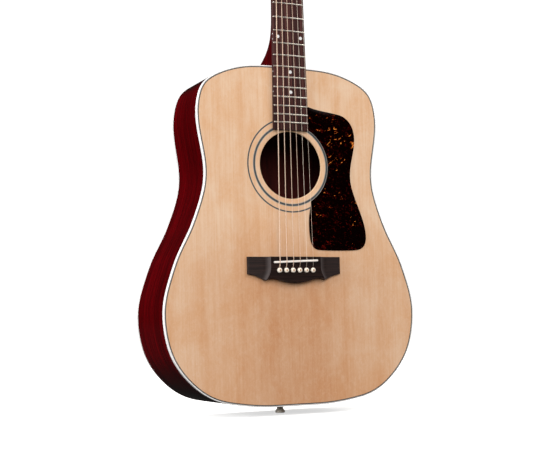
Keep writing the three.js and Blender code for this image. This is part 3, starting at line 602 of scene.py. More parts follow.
# bare mahogany inside the body, its colour darkened well beyond the wood's own as painted shade
SHADED_BARE_MAHOGANY = bare_wood("mahogany_bare", (74, 17, 12), (47, 8, 6), (260, 260, 20))
MAPLE = bare_wood("maple", (214, 190, 150), (186, 156, 112), (20, 300, 300))
BOARD_TONES = ((106, 60, 56), (72, 40, 38), (35, 15, 15))
BRIDGE_TONES = ((48, 31, 27), (33, 20, 17), (17, 10, 9))
HEAD_TONES = ((78, 46, 38), (48, 28, 25), (22, 12, 12))
# the board's rosewood, darker towards the body end
BOARD_WOOD = dark_rosewood("rosewood_board", BOARD_TONES, 0.55, darker_below=(0.41, 0.5))
# the bridge's rosewood, with a painted sheen on its sloping faces
BRIDGE_WOOD = dark_rosewood("rosewood_bridge", BRIDGE_TONES, 0.45, grain=(10, 300, 420), sideways_sheen=True)
HEAD_WOOD = dark_rosewood("rosewood_head", HEAD_TONES, 0.2, coat=0.5)
IVORY = moulded("ivory_plastic", (253, 252, 251), (246, 244, 241))
# white binding, with painted shade on its downward faces
EDGE_IVORY = moulded("ivory_edge", (253, 252, 253), (245, 244, 245), painted_shade=True)
PIN_IVORY = moulded("pin_ivory", (255, 246, 232), (250, 236, 218))
PIN_DOT = moulded("pin_dot", (206, 160, 122), (176, 128, 92))
BONE = moulded("bone", (255, 250, 246), (252, 243, 234), 0.3)
EDGE_LINE = moulded("purfling_edge", (46, 48, 50), (36, 38, 40), 0.5, coat=0.0)
LINE_BLACK = moulded("purfling_dark", (70, 74, 75), (58, 61, 62), 0.5, coat=0.0)
LINE_GREY = moulded("purfling_grey", (150, 154, 154), (132, 136, 136), 0.5, coat=0.0)
LINE_LIGHT = moulded("purfling_light", (226, 226, 222), (212, 212, 208), 0.4, coat=0.0)
BLACK = moulded("black_plastic", (22, 20, 20), (14, 13, 13), 0.22)
TORTOISE = tortoise()
PEARL = pearl()
NICKEL = metal("nickel", (222, 221, 216), (196, 194, 188), 0.18, metallic=0.65)
FRET_METAL = metal("fret_nickel", (234, 226, 214), (206, 198, 186), 0.28)
STEEL = metal("steel", (150, 152, 156), (120, 122, 126), 0.35, bump=0.00002)
BRASS = metal("brass", (196, 158, 88), (160, 124, 62), 0.3)
WOUND = wound_bronze()
PLAIN = metal("plain_steel", (255, 236, 218), (236, 216, 198), 0.35, metallic=0.3)


# ------------------------------------------------------------------ body outline
def rim_points():
    """The outer corners of the frame's top binding as (x, z), going round."""
    rim = [Vector(v.co) * 1000 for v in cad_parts["top_binding"].data.vertices]
    front = min(p.y for p in rim)
    flat = {(round(p.x, 2), round(p.z - TAIL_Z, 2)) for p in rim if p.y < front + 0.1}
    middle = (0, BODY_TOP / 2)
    pairs = []  # an outer corner and its inner one, which lie closer together than neighbours do
    for p in sorted(flat):
        near = next((g for g in pairs if math.dist(g[0], p) < 4), None)
        if near:
            near.append(p)
        else:
            pairs.append([p])
    outer = [max(g, key=lambda p: math.dist(p, middle)) for g in pairs]
    outer.sort(key=lambda p: math.atan2(p[0], p[1] - middle[1]))
    return np.array(outer)


def closed_spline(knots, count):
    """Evenly spaced points and unit outward normals of a smooth closed curve through the knots."""
    n = len(knots)
    here = np.arange(n)
    chord = np.linalg.norm(np.roll(knots, -1, 0) - knots, axis=1)
    before = np.roll(chord, 1)
    slope = (np.roll(knots, -1, 0) - knots) / chord[:, None]
    matrix = np.diag(2 * (before + chord))
    matrix[here, here - 1] = before
    matrix[here, (here + 1) % n] = chord
    bend = np.linalg.solve(matrix, 6 * (slope - np.roll(slope, 1, 0)))
    b = np.linspace(0, 1, 40, endpoint=False)[:, None]
    a = 1 - b
    fine = []
    for i in here:
        j = (i + 1) % n
        arch = (a**3 - a) * bend[i] + (b**3 - b) * bend[j]
        fine.append(a * knots[i] + b * knots[j] + chord[i] ** 2 / 6 * arch)
    fine = np.vstack(fine + [fine[0][:1]])
    points = along_path(fine, np.linspace(0, 1, count, endpoint=False))
    normal = outward(points)
    return points, normal / np.linalg.norm(normal, axis=1)[:, None]


OUTLINE, NORMAL = closed_spline(rim_points(), OUTLINE_POINTS)


def inset(distance):
    return OUTLINE - NORMAL * distance


def back_surface():
    """Coefficients of the back's outer face, depth over (x, z), fitted to the frame's back node."""
    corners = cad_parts["back"].data.vertices
    co = np.array([v.co for v in corners if v.normal.y > 0.9]) * 1000 - (0, FACE_Y, TAIL_Z)
    terms = np.stack([np.ones(len(co)), co[:, 2], co[:, 2] ** 2, co[:, 0] ** 2], 1)
    return np.linalg.lstsq(terms, co[:, 1], rcond=None)[0]


BACK_FIT = back_surface()


def back_depth(flat):
    x, z = flat[..., 0], flat[..., 1]
    return BACK_FIT[0] + BACK_FIT[1] * z + BACK_FIT[2] * z * z + BACK_FIT[3] * x * x


def edge_band(levels):
    """A band round the body from its closed profile of (inset, depth) pairs."""
    loops = np.array([standing(inset(i), d) for i, d in levels])
    return skin(loops.transpose(1, 0, 2), closed=True)


# ------------------------------------------------------------------ body box
def make_bindings():
    corner = quarter(0.8, 4)
    front = [(BINDING, 0.0), *corner, (0.0, BINDING_HEIGHT), (BINDING, BINDING_HEIGHT)]
    piece("top_binding_strip", [edge_band(front)], EDGE_IVORY, "top_binding")
    bands = []
    start = BINDING
    for wide in PURFLING:
        end = start + wide
        profile = [(start, -PROUD), (start, INLAY_DEPTH), (end, INLAY_DEPTH), (end, -PROUD)]
        bands.append(edge_band(profile))
        start = end
    piece("top_purfling_dark", bands[::2], EDGE_LINE)
    piece("top_purfling_light", bands[1:2], LINE_LIGHT)
    depth = back_depth(OUTLINE)
    back = [(i, depth - d) for i, d in [(BACK_BINDING, 0.0), *corner]]
    back += [(0.0, depth - BINDING_HEIGHT), (BACK_BINDING, depth - BINDING_HEIGHT)]
    piece("back_binding_strip", [edge_band(back)], EDGE_IVORY, "back_binding")
    start, end = BACK_BINDING, BACK_BINDING + BACK_PURFLING
    ends = [(start, -PROUD), (start, INLAY_DEPTH), (end, INLAY_DEPTH), (end, -PROUD)]
    inner = edge_band([(i, depth - d) for i, d in ends])
    piece("back_purfling", [inner], EDGE_LINE)


def faces_inside(c, normal):
    """Whether a face looks into the body's hollow."""
    return normal.dot(Vector((c.x, c.y - HOLLOW_Y, c.z - BODY_TOP / 2)).normalized()) < -0.05


def make_sides():
    top = BINDING_HEIGHT + PROUD
    depth = back_depth(OUTLINE) - top
    tail = np.argmin(OUTLINE[:, 1])
    for sign, word in ((-1, "bass"), (1, "treble")):
        x, z = OUTLINE[:, 0] * sign, OUTLINE[:, 1]
        near = (x > 0) & ((x > HEEL_HALF) | (z < BODY_TOP / 2))
        order = sorted(np.nonzero(near)[0], key=lambda i: math.atan2(x[i], z[i] - BODY_TOP / 2))
        outer = np.vstack([OUTLINE[order], (PROUD * sign, z[tail])])
        inner = np.vstack([inset(SIDE)[order], (PROUD * sign, z[tail] + SIDE)])
        deep = np.append(depth[order], depth[tail])
        levels = [top + (deep - top) * share for share in np.linspace(0, 1, 9)]
        rows = [standing(outer, y) for y in levels] + [standing(inner, y) for y in levels[::-1]]
        panel = skin(np.array(rows).transpose(1, 0, 2))
        woods = [RED_SIDE, SHADED_BARE_MAHOGANY]
        piece(f"side_{word}_panel", [panel], woods, f"side_{word}", mark=faces_inside)


def make_soundboard():
    edge = inset(BINDING + sum(PURFLING))
    angle = np.arctan2(edge[:, 1] - HOLE_Z, edge[:, 0])
    spokes = np.stack([np.cos(angle), np.sin(angle)], 1)

    def ring(share, grow=0.0):
        hole = spokes * (HOLE_R + grow) + (0, HOLE_Z)
        return hole + (edge - hole) * share

    shares = np.linspace(1, 0, 15)
    levels = [standing(ring(s, HOLE_ROUND if s == 0 else 0), 0.0) for s in shares]
    turns = (0.4, 0.8, 1.2, math.pi / 2)
    levels += [standing(ring(0, grow), drop) for grow, drop in quarter(HOLE_ROUND, turns)]
    levels.append(standing(ring(0), PLATE - 0.2))
    levels += [standing(ring(s), PLATE) for s in shares[::-1]]

    def on_wall(c, normal):
        return math.hypot(c.x, c.z - HOLE_Z) < HOLE_R + HOLE_ROUND * 0.7 and 0.1 < c.y < PLATE

    plate = skin(np.array(levels).transpose(1, 0, 2), closed=True)
    woods = [SPRUCE, LIT_HOLE_WALL]
    piece("soundboard_plate", [plate], woods, "soundboard", mark=on_wall)


def make_back():
    edge = inset(BACK_BINDING + BACK_PURFLING)
    middle = np.array((0, BODY_TOP / 2))
    shares = np.linspace(0.03, 1, 22)
    levels = []
    for thick, order in ((0.0, shares), (PLATE, shares[::-1])):
        for s in order:
            flat = middle + (edge - middle) * s
            levels.append(standing(flat, back_depth(flat) - thick))

    def looks_in(c, normal):
        return normal.y < 0

    woods = [RED_BACK, SHADED_BARE_MAHOGANY]
    piece("back_plate", [skin(levels)], woods, "back", mark=looks_in)


def make_rosette():
    for word, radii in (("inner", ROSETTE_INNER), ("outer", ROSETTE_OUTER)):
        profile = [(r, -0.03) for r in radii] + [(r, 1.1) for r in radii[::-1]]
        sections = []
        for t in circle(192):
            sections.append([(r * math.cos(t), y, HOLE_Z + r * math.sin(t)) for r, y in profile])

        def on_rim(c, normal):
            return not radii[1] < math.hypot(c.x, c.z - HOLE_Z) < radii[2]

        node = f"rosette_{word}_ring"
        ring = skin(sections, closed=True)
        lines = [LINE_BLACK, LINE_GREY]
        piece(f"rosette_{word}_inlay", [ring], lines, node, mark=on_rim)


def make_pickguard():
    hug = 62.3  # radius of the edge that follows the rosette
    edge = BOARD_HALF[1] + 0.5
    rise = HOLE_Z - SCALE_END
    start, end = -math.asin((rise - 88) / hug), math.asin((196 - rise) / hug)
    arc = [(hug * math.cos(t), rise + hug * math.sin(t)) for t in np.linspace(start, end, 60)]
    rest = curves(
        (edge, 232),
        ((46, 226.5), (62, 226), (84, 222), 12),
        ((101, 218), (110, 203), (109.4, 184), 18),
        ((108.5, 163), (100, 148), (100, 126), 14),
        ((100, 98), (124, 66), (124.6, 36), 20),
        ((124.8, 21), (118, 14.5), (103, 14), 16),
        ((84, 13), (62, 13.2), (45, 14), 8),
        ((35, 14.6), (31.5, 20), (29.5, 28), 12),
        ((27, 42), (26.6, 60), (30, 74), 12),
        ((31, 79), (32.5, 84), (arc[0][0] - 1.2, arc[0][1] - 1.5), 6),
    )
    loop = np.vstack([arc, [(edge, 198)], rest]) + (0, SCALE_END)
    sheet = slab(loop, -1.5, -0.02, front_round=0.7)
    piece("pickguard_sheet", [sheet], TORTOISE, "pickguard")


# ------------------------------------------------------------------ bridge
LOWER_EDGE = np.vstack(
    [
        curves(
            (0, BRIDGE_BELLY_LOW),
            ((24, BRIDGE_BELLY_LOW), (34, -23.6), CUSP, 40),
            ((57, -27.5), (66, -23), (BRIDGE_HALF, BRIDGE_WING_LOW), 30),
        ),
        [(BRIDGE_HALF, BRIDGE_WING_LOW)],
    ]
)


def bridge_low(x):
    """The bridge's lower edge: a belly in the middle, cusps, and wings that sweep up."""
    return np.interp(x, LOWER_EDGE[:, 0], LOWER_EDGE[:, 1])


def block_edge(z):
    """Where the raised middle block ends, bowing out to the cusps."""
    t = np.clip((-12 - z) / (-12 - CUSP[1]), 0, 1)
    return BLOCK_HALF + (CUSP[0] - BLOCK_HALF) * t**1.8


def bridge_column(span, share):
    """Points down the bridge's top, a share of the way across its block (span 0) or a wing (span 1)."""
    column = []
    for v in np.linspace(0, 1, 26):
        z = BRIDGE_FRONT - 30 * v
        for _ in range(12):  # x and z depend on each other
            stops = (0.0, block_edge(z), BRIDGE_HALF)
            x = stops[span] + (stops[span + 1] - stops[span]) * share
            z = BRIDGE_FRONT + (bridge_low(x) - BRIDGE_FRONT) * v
        height = np.interp(max(0.0, x - block_edge(z)), *zip(*WING_FALL))
        column.append((x, -height, z + SCALE_END))
    return column


def make_bridge():
    half = [bridge_column(0, share) for share in np.linspace(0, 1, 24)]
    wing_shares = (0.018, 0.04, 0.07, 0.11, 0.17, 0.26, 0.37, 0.52, 0.7, 0.86, 1.0)
    half = np.array(half + [bridge_column(1, share) for share in wing_shares])
    top = np.vstack([half[:0:-1] * (-1, 1, 1), half])
    columns, count = top.shape[:2]
    rim = [(c, 0) for c in range(columns)] + [(columns - 1, r) for r in range(1, count)]
    rim += [(c, count - 1) for c in range(columns - 2, -1, -1)]
    rim += [(0, r) for r in range(count - 2, 0, -1)]
    c, r = np.array(rim).T
    edge = top[c, r]
    out = standing(outward(edge[:, [0, 2]]), 0.0)
    top[c, r] -= out * BRIDGE_ROUND
    rings = [edge - out * i + (0, d, 0) for i, d in quarter(BRIDGE_ROUND, 4)[1:]]
    rings.append(edge * (1, 0, 1) - (0, 0.05, 0))
    corners = np.arange(columns * count).reshape(columns, count)
    faces = [(a, a + 1, a + count + 1, a + count) for a in corners[:-1, :-1].ravel().tolist()]
    previous = corners[c, r].tolist()
    for k in range(len(rings)):
        start = columns * count + k * len(rim)
        ring = list(range(start, start + len(rim)))
        faces += [(previous[i - 1], previous[i], ring[i], ring[i - 1]) for i in range(len(rim))]
        previous = ring
    shell = np.vstack([top.reshape(-1, 3), *rings]), faces + [previous]
    piece("bridge_body", [shell], BRIDGE_WOOD, "bridge", sharp=28)


def crown(x):
    return x * x / (2 * CROWN_RADIUS)


def saddle_z(x):
    return SCALE_END - 3.6 + 1.4 * x / SADDLE_HALF


def make_saddle():
    thick, end, foot = 1.5, 1.3, BRIDGE_TOP + 4.5
    sections = []
    for x in np.linspace(-SADDLE_HALF, SADDLE_HALF, 61):
        pull = max(0.0, abs(x) - (SADDLE_HALF - end)) / end
        wide = thick * math.sqrt(max(0.02, 1 - pull * pull))
        top = SADDLE_TOP + crown(x) + 0.4 * pull**2
        loop = [(foot, -wide)]
        for t in np.linspace(0, math.pi, 9):
            loop.append((top + wide * 0.4 * (1 - math.sin(t)), -wide * math.cos(t)))
        loop.append((foot, wide))
        sections.append([(x, y, z + saddle_z(x)) for y, z in loop])
    piece("saddle_bone", [skin(sections)], BONE, "saddle", sharp=50)


def make_pins():
    top = BRIDGE_TOP
    profile = [(0, 17.5), (2.1, 17.5), (2.6, top), (2.6, top - 0.2), (3.9, top - 0.25)]
    profile += [(3.9, top - 1.1), (3.3, top - 2.5), (1.9, top - 3.25), (0, top - 3.4)]
    for number, x in enumerate(PIN_XS, 1):
        node = f"bridge_pin_{number}"

        def on_dot(c, normal):
            return math.hypot(c.x - x, c.z - PIN_Z) < 1.35 and c.y < top - 2

        pin = lathe(rounded(profile, 0.5), (x, 0, PIN_Z), (0, 1, 0), 40)
        ivories = [PIN_IVORY, PIN_DOT]
        piece(f"{node}_turned", [pin], ivories, node, body=node, mark=on_dot)


def make_end_pin():
    profile = [(0, -13), (6.6, -13), (7.4, -12.2), (7.2, -9.5), (5.6, -8), (4.6, -6), (4.9, -3.5)]
    profile += [(6.8, -0.9), (6.8, -0.3), (3.8, -0.3), (3.4, 24), (0, 24)]

    def on_dot(c, normal):
        return c.z < -12.5 and math.hypot(c.x, c.y - END_PIN_Y) < 2.6

    pin = lathe(rounded(profile, 0.6), (0, END_PIN_Y, 0), (0, 0, 1), 48)
    piece("end_pin_turned", [pin], [PIN_IVORY, BLACK], "end_pin", mark=on_dot)


# ------------------------------------------------------------------ neck
def smoothstep(value, low, high):
    t = np.clip((value - low) / (high - low), 0, 1)
    return t * t * (3 - 2 * t)


def board_half(z):
    return BOARD_HALF[0] + (BOARD_HALF[1] - BOARD_HALF[0]) * (NUT_Z - z) / (NUT_Z - BOARD_END_Z)


def head_half_points(root):
    """Half of the head's outline, (x, w) from the nut to the tip."""
    return curves(
        (21.6, root),
        ((21.7, root + 1), (21.8, 2), (21.9, 3), 2),
        ((23, 14), (34, 16), (35.6, 32), 22),
        ((36.6, 60), (38.4, 120), (38.6, 160), 24),
        ((38.6, 172), (33, 176), (24, 179), 18),
        ((14, 182), (7, HEAD_TIP), (0, HEAD_TIP), 14),
    )


def mirrored(x, y):
    """A whole neck section from its right half, which ends in the middle."""
    return np.concatenate([x, -x[-2::-1]]), np.concatenate([y, y[-2::-1]])


def shaft_section(z):
    """The neck's cross-section, thickening into the heel near the body."""
    wide = board_half(z) - 0.3
    shaft = np.interp(z, (BODY_TOP, NUT_Z), SHAFT_DEPTH[::-1])
    rise = z - HEEL_Z
    reach, power = HEEL_SWEEP
    deep = shaft + (HEEL_DEPTH - shaft) * math.exp(-((max(0.0, rise - HEEL_CAP[0]) / reach) ** power))
    reach, power = HEEL_BLEND
    share = math.exp(-((rise / reach) ** power))
    foot = HEEL_HALF - 5 * smoothstep(rise, 0, 14)
    t = np.linspace(0, math.pi / 2, TURNS // 2 + 1)
    down = np.minimum(1, t / (math.pi / 2) * 1.25)
    close = np.clip((t / (math.pi / 2) - 0.8) / 0.2, 0, 1)
    heel_x = (wide + (foot - wide) * down**0.75) * np.sqrt(np.maximum(0, 1 - close**2))
    heel_y = np.where(close > 0, deep, deep * down)
    x = wide * np.cos(t) * (1 - share) + heel_x * share
    y = deep * np.sin(t) * (1 - share) + heel_y * share
    x[-1] = 0
    return mirrored(x, y)


def boxed_section(half, deep):
    """A head section: straight sides, a flat back and rounded back corners, with as many stations."""
    corner = min(1.6, half * 0.8)
    path = [(half, 0.0)] + [(half - d, deep - i) for i, d in quarter(corner, 6)] + [(0.0, deep)]
    return mirrored(*along_path(np.array(path), np.linspace(0, 1, TURNS // 2 + 1)).T)


def make_neck():
    bend = (NUT_Z - 28, HEAD_Z)  # where the neck turns back into the head
    low = [HEEL_Z + 170 * (k / 60) ** 1.4 for k in range(61)]
    zs = [*low, *np.linspace(low[-1], bend[0], 20)[1:], *np.linspace(NUT_Z - 24, HEAD_Z, 12)]
    sections = []
    for z in zs:
        tilt = HEAD_PITCH * smoothstep(z, *bend)
        x, y = shaft_section(min(z, NUT_Z))
        sections.append(np.stack([x, y * math.cos(tilt), z - y * math.sin(tilt)], 1))
    x0, y0 = shaft_section(NUT_Z)
    for half, w in head_half_points(0.5)[1:]:
        x1, y1 = boxed_section(max(half, 0.6), HEAD_THICK)
        share = smoothstep(w, -4, 40)
        x = x0 * half / x0[0] * (1 - share) + x1 * share
        y = y0 * (1 - share) + y1 * share
        sections.append(from_head(np.stack([x, y, np.full(len(x), w)], 1)))
    piece("neck_carved", [skin(sections)], RED_NECK, "neck", sharp=30)


def make_heel_cap():
    up, thick = HEEL_CAP
    turns = np.linspace(0, math.pi, 41)
    curve = np.array([(HEEL_HALF * math.cos(t), HEEL_Z + up * math.sin(t)) for t in turns])
    front = HEEL_DEPTH + 0.1
    cap = slab(curve, front, front + thick, back_round=0.5)
    piece("heel_cap_plate", [cap], IVORY, "heel_cap")


def board_top(x):
    return BOARD_TOP + crown(x)


def make_fretboard():
    soft, foot = 0.7, -0.05
    sections = []
    for z in np.linspace(BOARD_END_Z, NUT_Z - 0.1, 40):
        half = board_half(z)
        top = board_top(half)
        edge = [(-half, foot), (-half, top + soft)]
        edge += [(-half + d, top + i) for i, d in quarter(soft, (0.5, 1.0))]
        middle = [(x, board_top(x)) for x in np.linspace(soft - half, half - soft, 21)]
        sections.append([(x, y, z) for x, y in edge + middle + [(-x, y) for x, y in edge[::-1]]])
    piece("fretboard_plank", [skin(sections)], BOARD_WOOD, "fretboard")


def fret_z(number):
    return SCALE_END + SCALE * 2 ** (-number / 12)


def make_frets():
    high, wide = 1.05, 1.15  # the bead's height and half width
    frets = []
    for number in range(1, FRETS + 1):
        z = fret_z(number)
        half = board_half(z) - 0.1
        ends = [-half, -half + 0.25, -half + 0.6, -half + 1.1]
        sections = []
        for x in ends + list(np.linspace(-half + 2, half - 2, 15)) + [-e for e in ends[::-1]]:
            full = high * min(1.0, 0.25 + (half - abs(x)) / 1.1)
            loop = []
            for t in np.linspace(0, math.pi, 13):
                loop.append((x, board_top(x) - full * math.sin(t) + 0.03, z + wide * math.cos(t)))
            foot = board_top(x) + 0.5
            sections.append(loop + [(x, foot, z - wide), (x, foot, z + wide)])
        frets.append(skin(sections))
    piece("fret_set", frets, FRET_METAL, "frets", sharp=50)


def disc(x, z, radius):
    """A dot let into the fingerboard, domed with it."""
    rings = []
    for r, lift in ((radius, 0.8), (radius, -0.02), (radius * 0.5, -0.03)):
        ring = [(x + r * math.cos(t), z + r * math.sin(t)) for t in circle(28)]
        rings.append([(px, board_top(px) + lift, pz) for px, pz in ring])
    return skin(rings)


def make_markers():
    dots, side = [], []
    profile = [(0, 0), (1.0, 0), (1.0, 0.62), (0.6, 0.66), (0, 0.67)]
    for number in (3, 5, 7, 9, 12, 15, 17):
        z = (fret_z(number) + fret_z(number - 1)) / 2
        double = number == 12
        dots += [disc(x, z, 2.6) for x in ((-19.0, 19.0) if double else (0.0,))]
        for at in (z - 4, z + 4) if double else (z,):
            side.append(lathe(profile, (0.6 - board_half(at), -3.2, at), (-1, 0, 0), 20))
    piece("position_dots", dots, PEARL)
    piece("side_dots", side, PEARL)


def make_nut():
    half = BOARD_HALF[0]
    cuts = []
    for x, r in zip(NUT_XS, STRING_RADII):
        cuts += [x - r - 0.12, x - r - 0.1, x, x + r + 0.1, x + r + 0.12]
    sections = []
    for x in sorted(set(np.linspace(-half, half, 40).round(3)) | set(np.round(cuts, 3))):
        near = min(range(6), key=lambda i: abs(NUT_XS[i] - x))
        in_slot = abs(NUT_XS[near] - x) < STRING_RADII[near] + 0.11
        top = (NUT_FLOOR + 0.02 if in_slot else -8.7) + crown(x)
        top += max(0.0, abs(x) - (half - 0.8)) ** 2 * 0.6
        slope = [(0.0, 0.25), (0.3, 0), (1.8, 0), (3.8, 0.75), (5.2, 1.7), (NUT_LENGTH, 2.0)]
        loop = [(0, -0.1)] + [(along, top + drop) for along, drop in slope] + [(NUT_LENGTH, -0.1)]
        sections.append([(x, y, NUT_Z + along) for along, y in loop])
    piece("nut_bone", [skin(sections)], BONE, "nut", sharp=30)


# ------------------------------------------------------------------ head
def on_head(shell):
    """A shell built in the head's own frame, set in its place."""
    return from_head(shell[0]), shell[1]


def make_veneer():
    loop = both_sides(head_half_points(0.9), HEAD_TIP)
    sheet = on_head(slab(loop, -VENEER, -0.1, front_round=0.4))
    piece("headstock_face", [sheet], HEAD_WOOD, "headstock_veneer")


def make_rod_cover():
    half = curves(
        (9.5, 1.5),
        ((9.7, 3), (9.9, 5), (9.9, 8), 4),
        ((9.9, 15), (7, 19), (5.4, 25), 12),
        ((4.6, 29), (2.4, COVER_TIP), (0, COVER_TIP), 10),
    )
    loop = both_sides(half, COVER_TIP)
    light = slab(loop, -COVER_STEP, -VENEER - 0.1)
    black = slab(loop - outward(loop) * 0.7, -COVER_TOP, -COVER_STEP - 0.01, front_round=0.3)

    def is_light(c, normal):
        height = (c.y - (c.z - HEAD_Z) * math.tan(HEAD_PITCH)) * math.cos(HEAD_PITCH)
        return height > -COVER_STEP - 0.02

    layers = [on_head(light), on_head(black)]
    piece("rod_cover_bell", layers, [BLACK, IVORY], "truss_rod_cover", mark=is_light)


def screw(origin, out, radius):
    """A domed screw's head with a driver's pit, as a closed shell standing along out."""
    profile = [(0, -0.6), (radius, -0.6), (radius, 0.05), (radius * 0.82, 0.45), (radius * 0.45, 0.66)]
    profile += [(radius * 0.34, 0.66), (radius * 0.3, 0.25), (0, 0.15)]
    return lathe(profile, origin, out, 20)


def make_head_fittings():
    covers = ((0, 27.2), (-7, 4.6), (7, 4.6))
    screws = [screw(at_head(x, -COVER_TOP - 0.02, w), OUT_OF_FACE, 1.5) for x, w in covers]
    for x in (-30.5, 30.5):
        for w in (POST_WS[0] - 12, POST_WS[0] + 19, POST_WS[1] + 19, POST_WS[2] + 8.5):
            screws.append(screw(at_head(x, HEAD_THICK + 1.3, w), OUT_OF_BACK, 1.7))
    ferrules = []
    profile = [(3.3, 0.6), (5.2, 0.6), (5.2, -0.35), (4.6, -0.75), (3.9, -0.8), (3.3, -0.55)]
    for _, x, w in POSTS:
        sections = []
        for t in circle(36):
            c, s = math.cos(t), math.sin(t)
            sections.append([(x + r * c, -VENEER - 0.05 + a, w + r * s) for r, a in profile])
        ferrules.append(on_head(skin(sections, closed=True)))
    piece("head_screws", screws, NICKEL, sharp=40)
    piece("post_ferrules", ferrules, NICKEL, sharp=40)


def rounded_box(x0, x1, w0, w1, radius, steps=6):
    """Corners of a rounded rectangle in the head's (x, w) plane."""
    left, right, low, high = x0 + radius, x1 - radius, w0 + radius, w1 - radius
    loop = []
    for n, (x, w) in enumerate(((right, high), (left, high), (left, low), (right, low))):
        for t in np.linspace(n, n + 1, steps + 1) * math.pi / 2:
            loop.append((x + radius * math.cos(t), w + radius * math.sin(t)))
    return np.array(loop)


def make_ear(x, w, foot):
    """A standing ear with a round top, which carries the worm's shaft."""
    turns = np.linspace(0, math.pi, 15)[1:-1]
    arch = [(w - EAR_HALF, foot), (w - EAR_HALF, WORM_Y)]
    arch += [(w - EAR_HALF * math.cos(t), WORM_Y + 2.9 * math.sin(t)) for t in turns]
    arch += [(w + EAR_HALF, WORM_Y), (w + EAR_HALF, foot)]
    walls = []
    for shift, pull in ((-0.8, 0.2), (-0.6, 0.0), (0.6, 0.0), (0.8, 0.2)):
        walls.append([(x + shift, y - pull * (y > foot + 1), aw) for aw, y in arch])
    return on_head(skin(walls))


def make_tuner_plates():
    base_y = HEAD_THICK + 0.1
    for sign, word in ((-1, "bass"), (1, "treble")):
        loop = rounded_box(*sorted((sign * 12.2, sign * 34)), POST_WS[0] - 15, POST_WS[2] + 11, 4)
        made = [on_head(slab(loop, base_y, base_y + 1.2, back_round=0.4))]
        for _, x, w in [p for p in POSTS if p[0] == sign]:
            made += [make_ear(x + shift, w - WORM_DROP, base_y + 1) for shift in (-EAR_X, EAR_X)]
        piece(f"tuner_base_{word}", made, NICKEL, f"tuner_plate_{word}", sharp=40)


def gear_wheel(x, w):
    """A 14-tooth wheel, one tooth facing the worm, its teeth eased at both faces."""
    flank = ((-0.29, 5.5), (-0.2, 6.0), (-0.15, 6.6), (-0.1, 6.95))
    tooth = [*flank, (0.0, 7.0), *[(-share, radius) for share, radius in flank[::-1]], (0.5, 5.4)]
    loops = []
    for y, shrink in ((-GEAR_HALF, 0.25), (-0.9, 0.0), (0.9, 0.0), (GEAR_HALF, 0.25)):
        loop = []
        for k in range(GEAR_TEETH):
            for share, radius in tooth:
                t = -math.pi / 2 + (k + share) * 2 * math.pi / GEAR_TEETH
                r = radius - shrink
                loop.append((x + r * math.cos(t), WORM_Y + y, w + r * math.sin(t)))
        loops.append(loop)
    return on_head(skin(loops))


def make_posts():
    top = WORM_Y + 1.0
    profile = [(0, -10.5), (2.7, -10.5), (3.1, -10.0), (3.1, -8.6), (2.95, -8.2), (2.9, -4.4)]
    profile += [(3.1, -3.6), (3.1, top), (0, top)]
    for number, (_, x, w) in enumerate(POSTS, 1):
        node = f"tuner_post_{number}"
        middle = at_head(x, WORM_Y, w)

        def is_gear(c, normal):
            """Whether a face is beyond the shank and within the wheel's thickness."""
            off = c - middle
            along = off.dot(OUT_OF_BACK)
            return abs(along) < GEAR_HALF + 0.05 and (off - OUT_OF_BACK * along).length > POST_R + 0.2

        made = [lathe(rounded(profile, 0.25), at_head(x, 0, w), OUT_OF_BACK, 36), gear_wheel(x, w)]
        made.append(screw(at_head(x, WORM_Y + 1.7, w), OUT_OF_BACK, POST_R))
        piece(f"{node}_turned", made, [NICKEL, BRASS], node, body=node, mark=is_gear)


def worm_thread(x, w, turns=2.6, per_turn=24):
    """A right-hand thread round the worm's shaft, its gap facing the wheel's nearest tooth."""
    lead = 2 * math.pi * GEAR_PITCH_R / GEAR_TEETH
    steps = int(turns * per_turn)
    sections = []
    for k in range(steps + 1):
        turn = (k / steps - 0.5) * turns
        angle = 2 * math.pi * turn + math.pi / 2
        tip = 1.45 + 1.35 * min(1.0, k / 8, (steps - k) / 8)
        along = x + lead * (turn + 0.5)
        loop = []
        for radius, shift in ((1.2, -0.6), (1.2, 0.6), (tip, 0.16), (tip, -0.16)):
            y = WORM_Y + radius * math.cos(angle)
            loop.append((along + shift, y, w + radius * math.sin(angle)))
        sections.append(loop)
    return on_head(skin(sections))


def button_knob(sign, w):
    """The oval button at the end of a worm's shaft."""
    loops = []
    for t in np.linspace(0, math.pi, 25)[1:-1]:
        along = 51 - 8.5 * math.cos(t)
        bulge = math.sin(t) ** 0.62
        ring = []
        for a in circle(40):
            high = math.copysign(abs(math.sin(a)) ** 0.85, math.sin(a))
            thick = 4.0 * (1 - 0.22 * abs(high) ** 3)
            ring.append((sign * along, WORM_Y + thick * bulge * math.cos(a), w + 9.8 * bulge * high))
        loops.append(ring)
    return on_head(skin(loops))


def make_buttons():
    for number, (sign, x, w) in enumerate(POSTS, 1):
        node = f"tuner_button_{number}"
        w -= WORM_DROP
        start = abs(x) - EAR_X - 1.2
        shaft = [(0, start), (1.1, start), (1.45, start + 0.4), (1.45, 40.2), (2.6, 40.6), (3.1, 41.2)]
        shaft += [(3.1, 43.4), (2.2, 44.2), (2.2, 46), (0, 46)]
        made = [lathe(rounded(shaft, 0.3), at_head(0, WORM_Y, w), (sign, 0, 0), 28)]
        made += [worm_thread(x, w), button_knob(sign, w)]
        piece(f"{node}_cast", made, NICKEL, node, body=node, sharp=40)


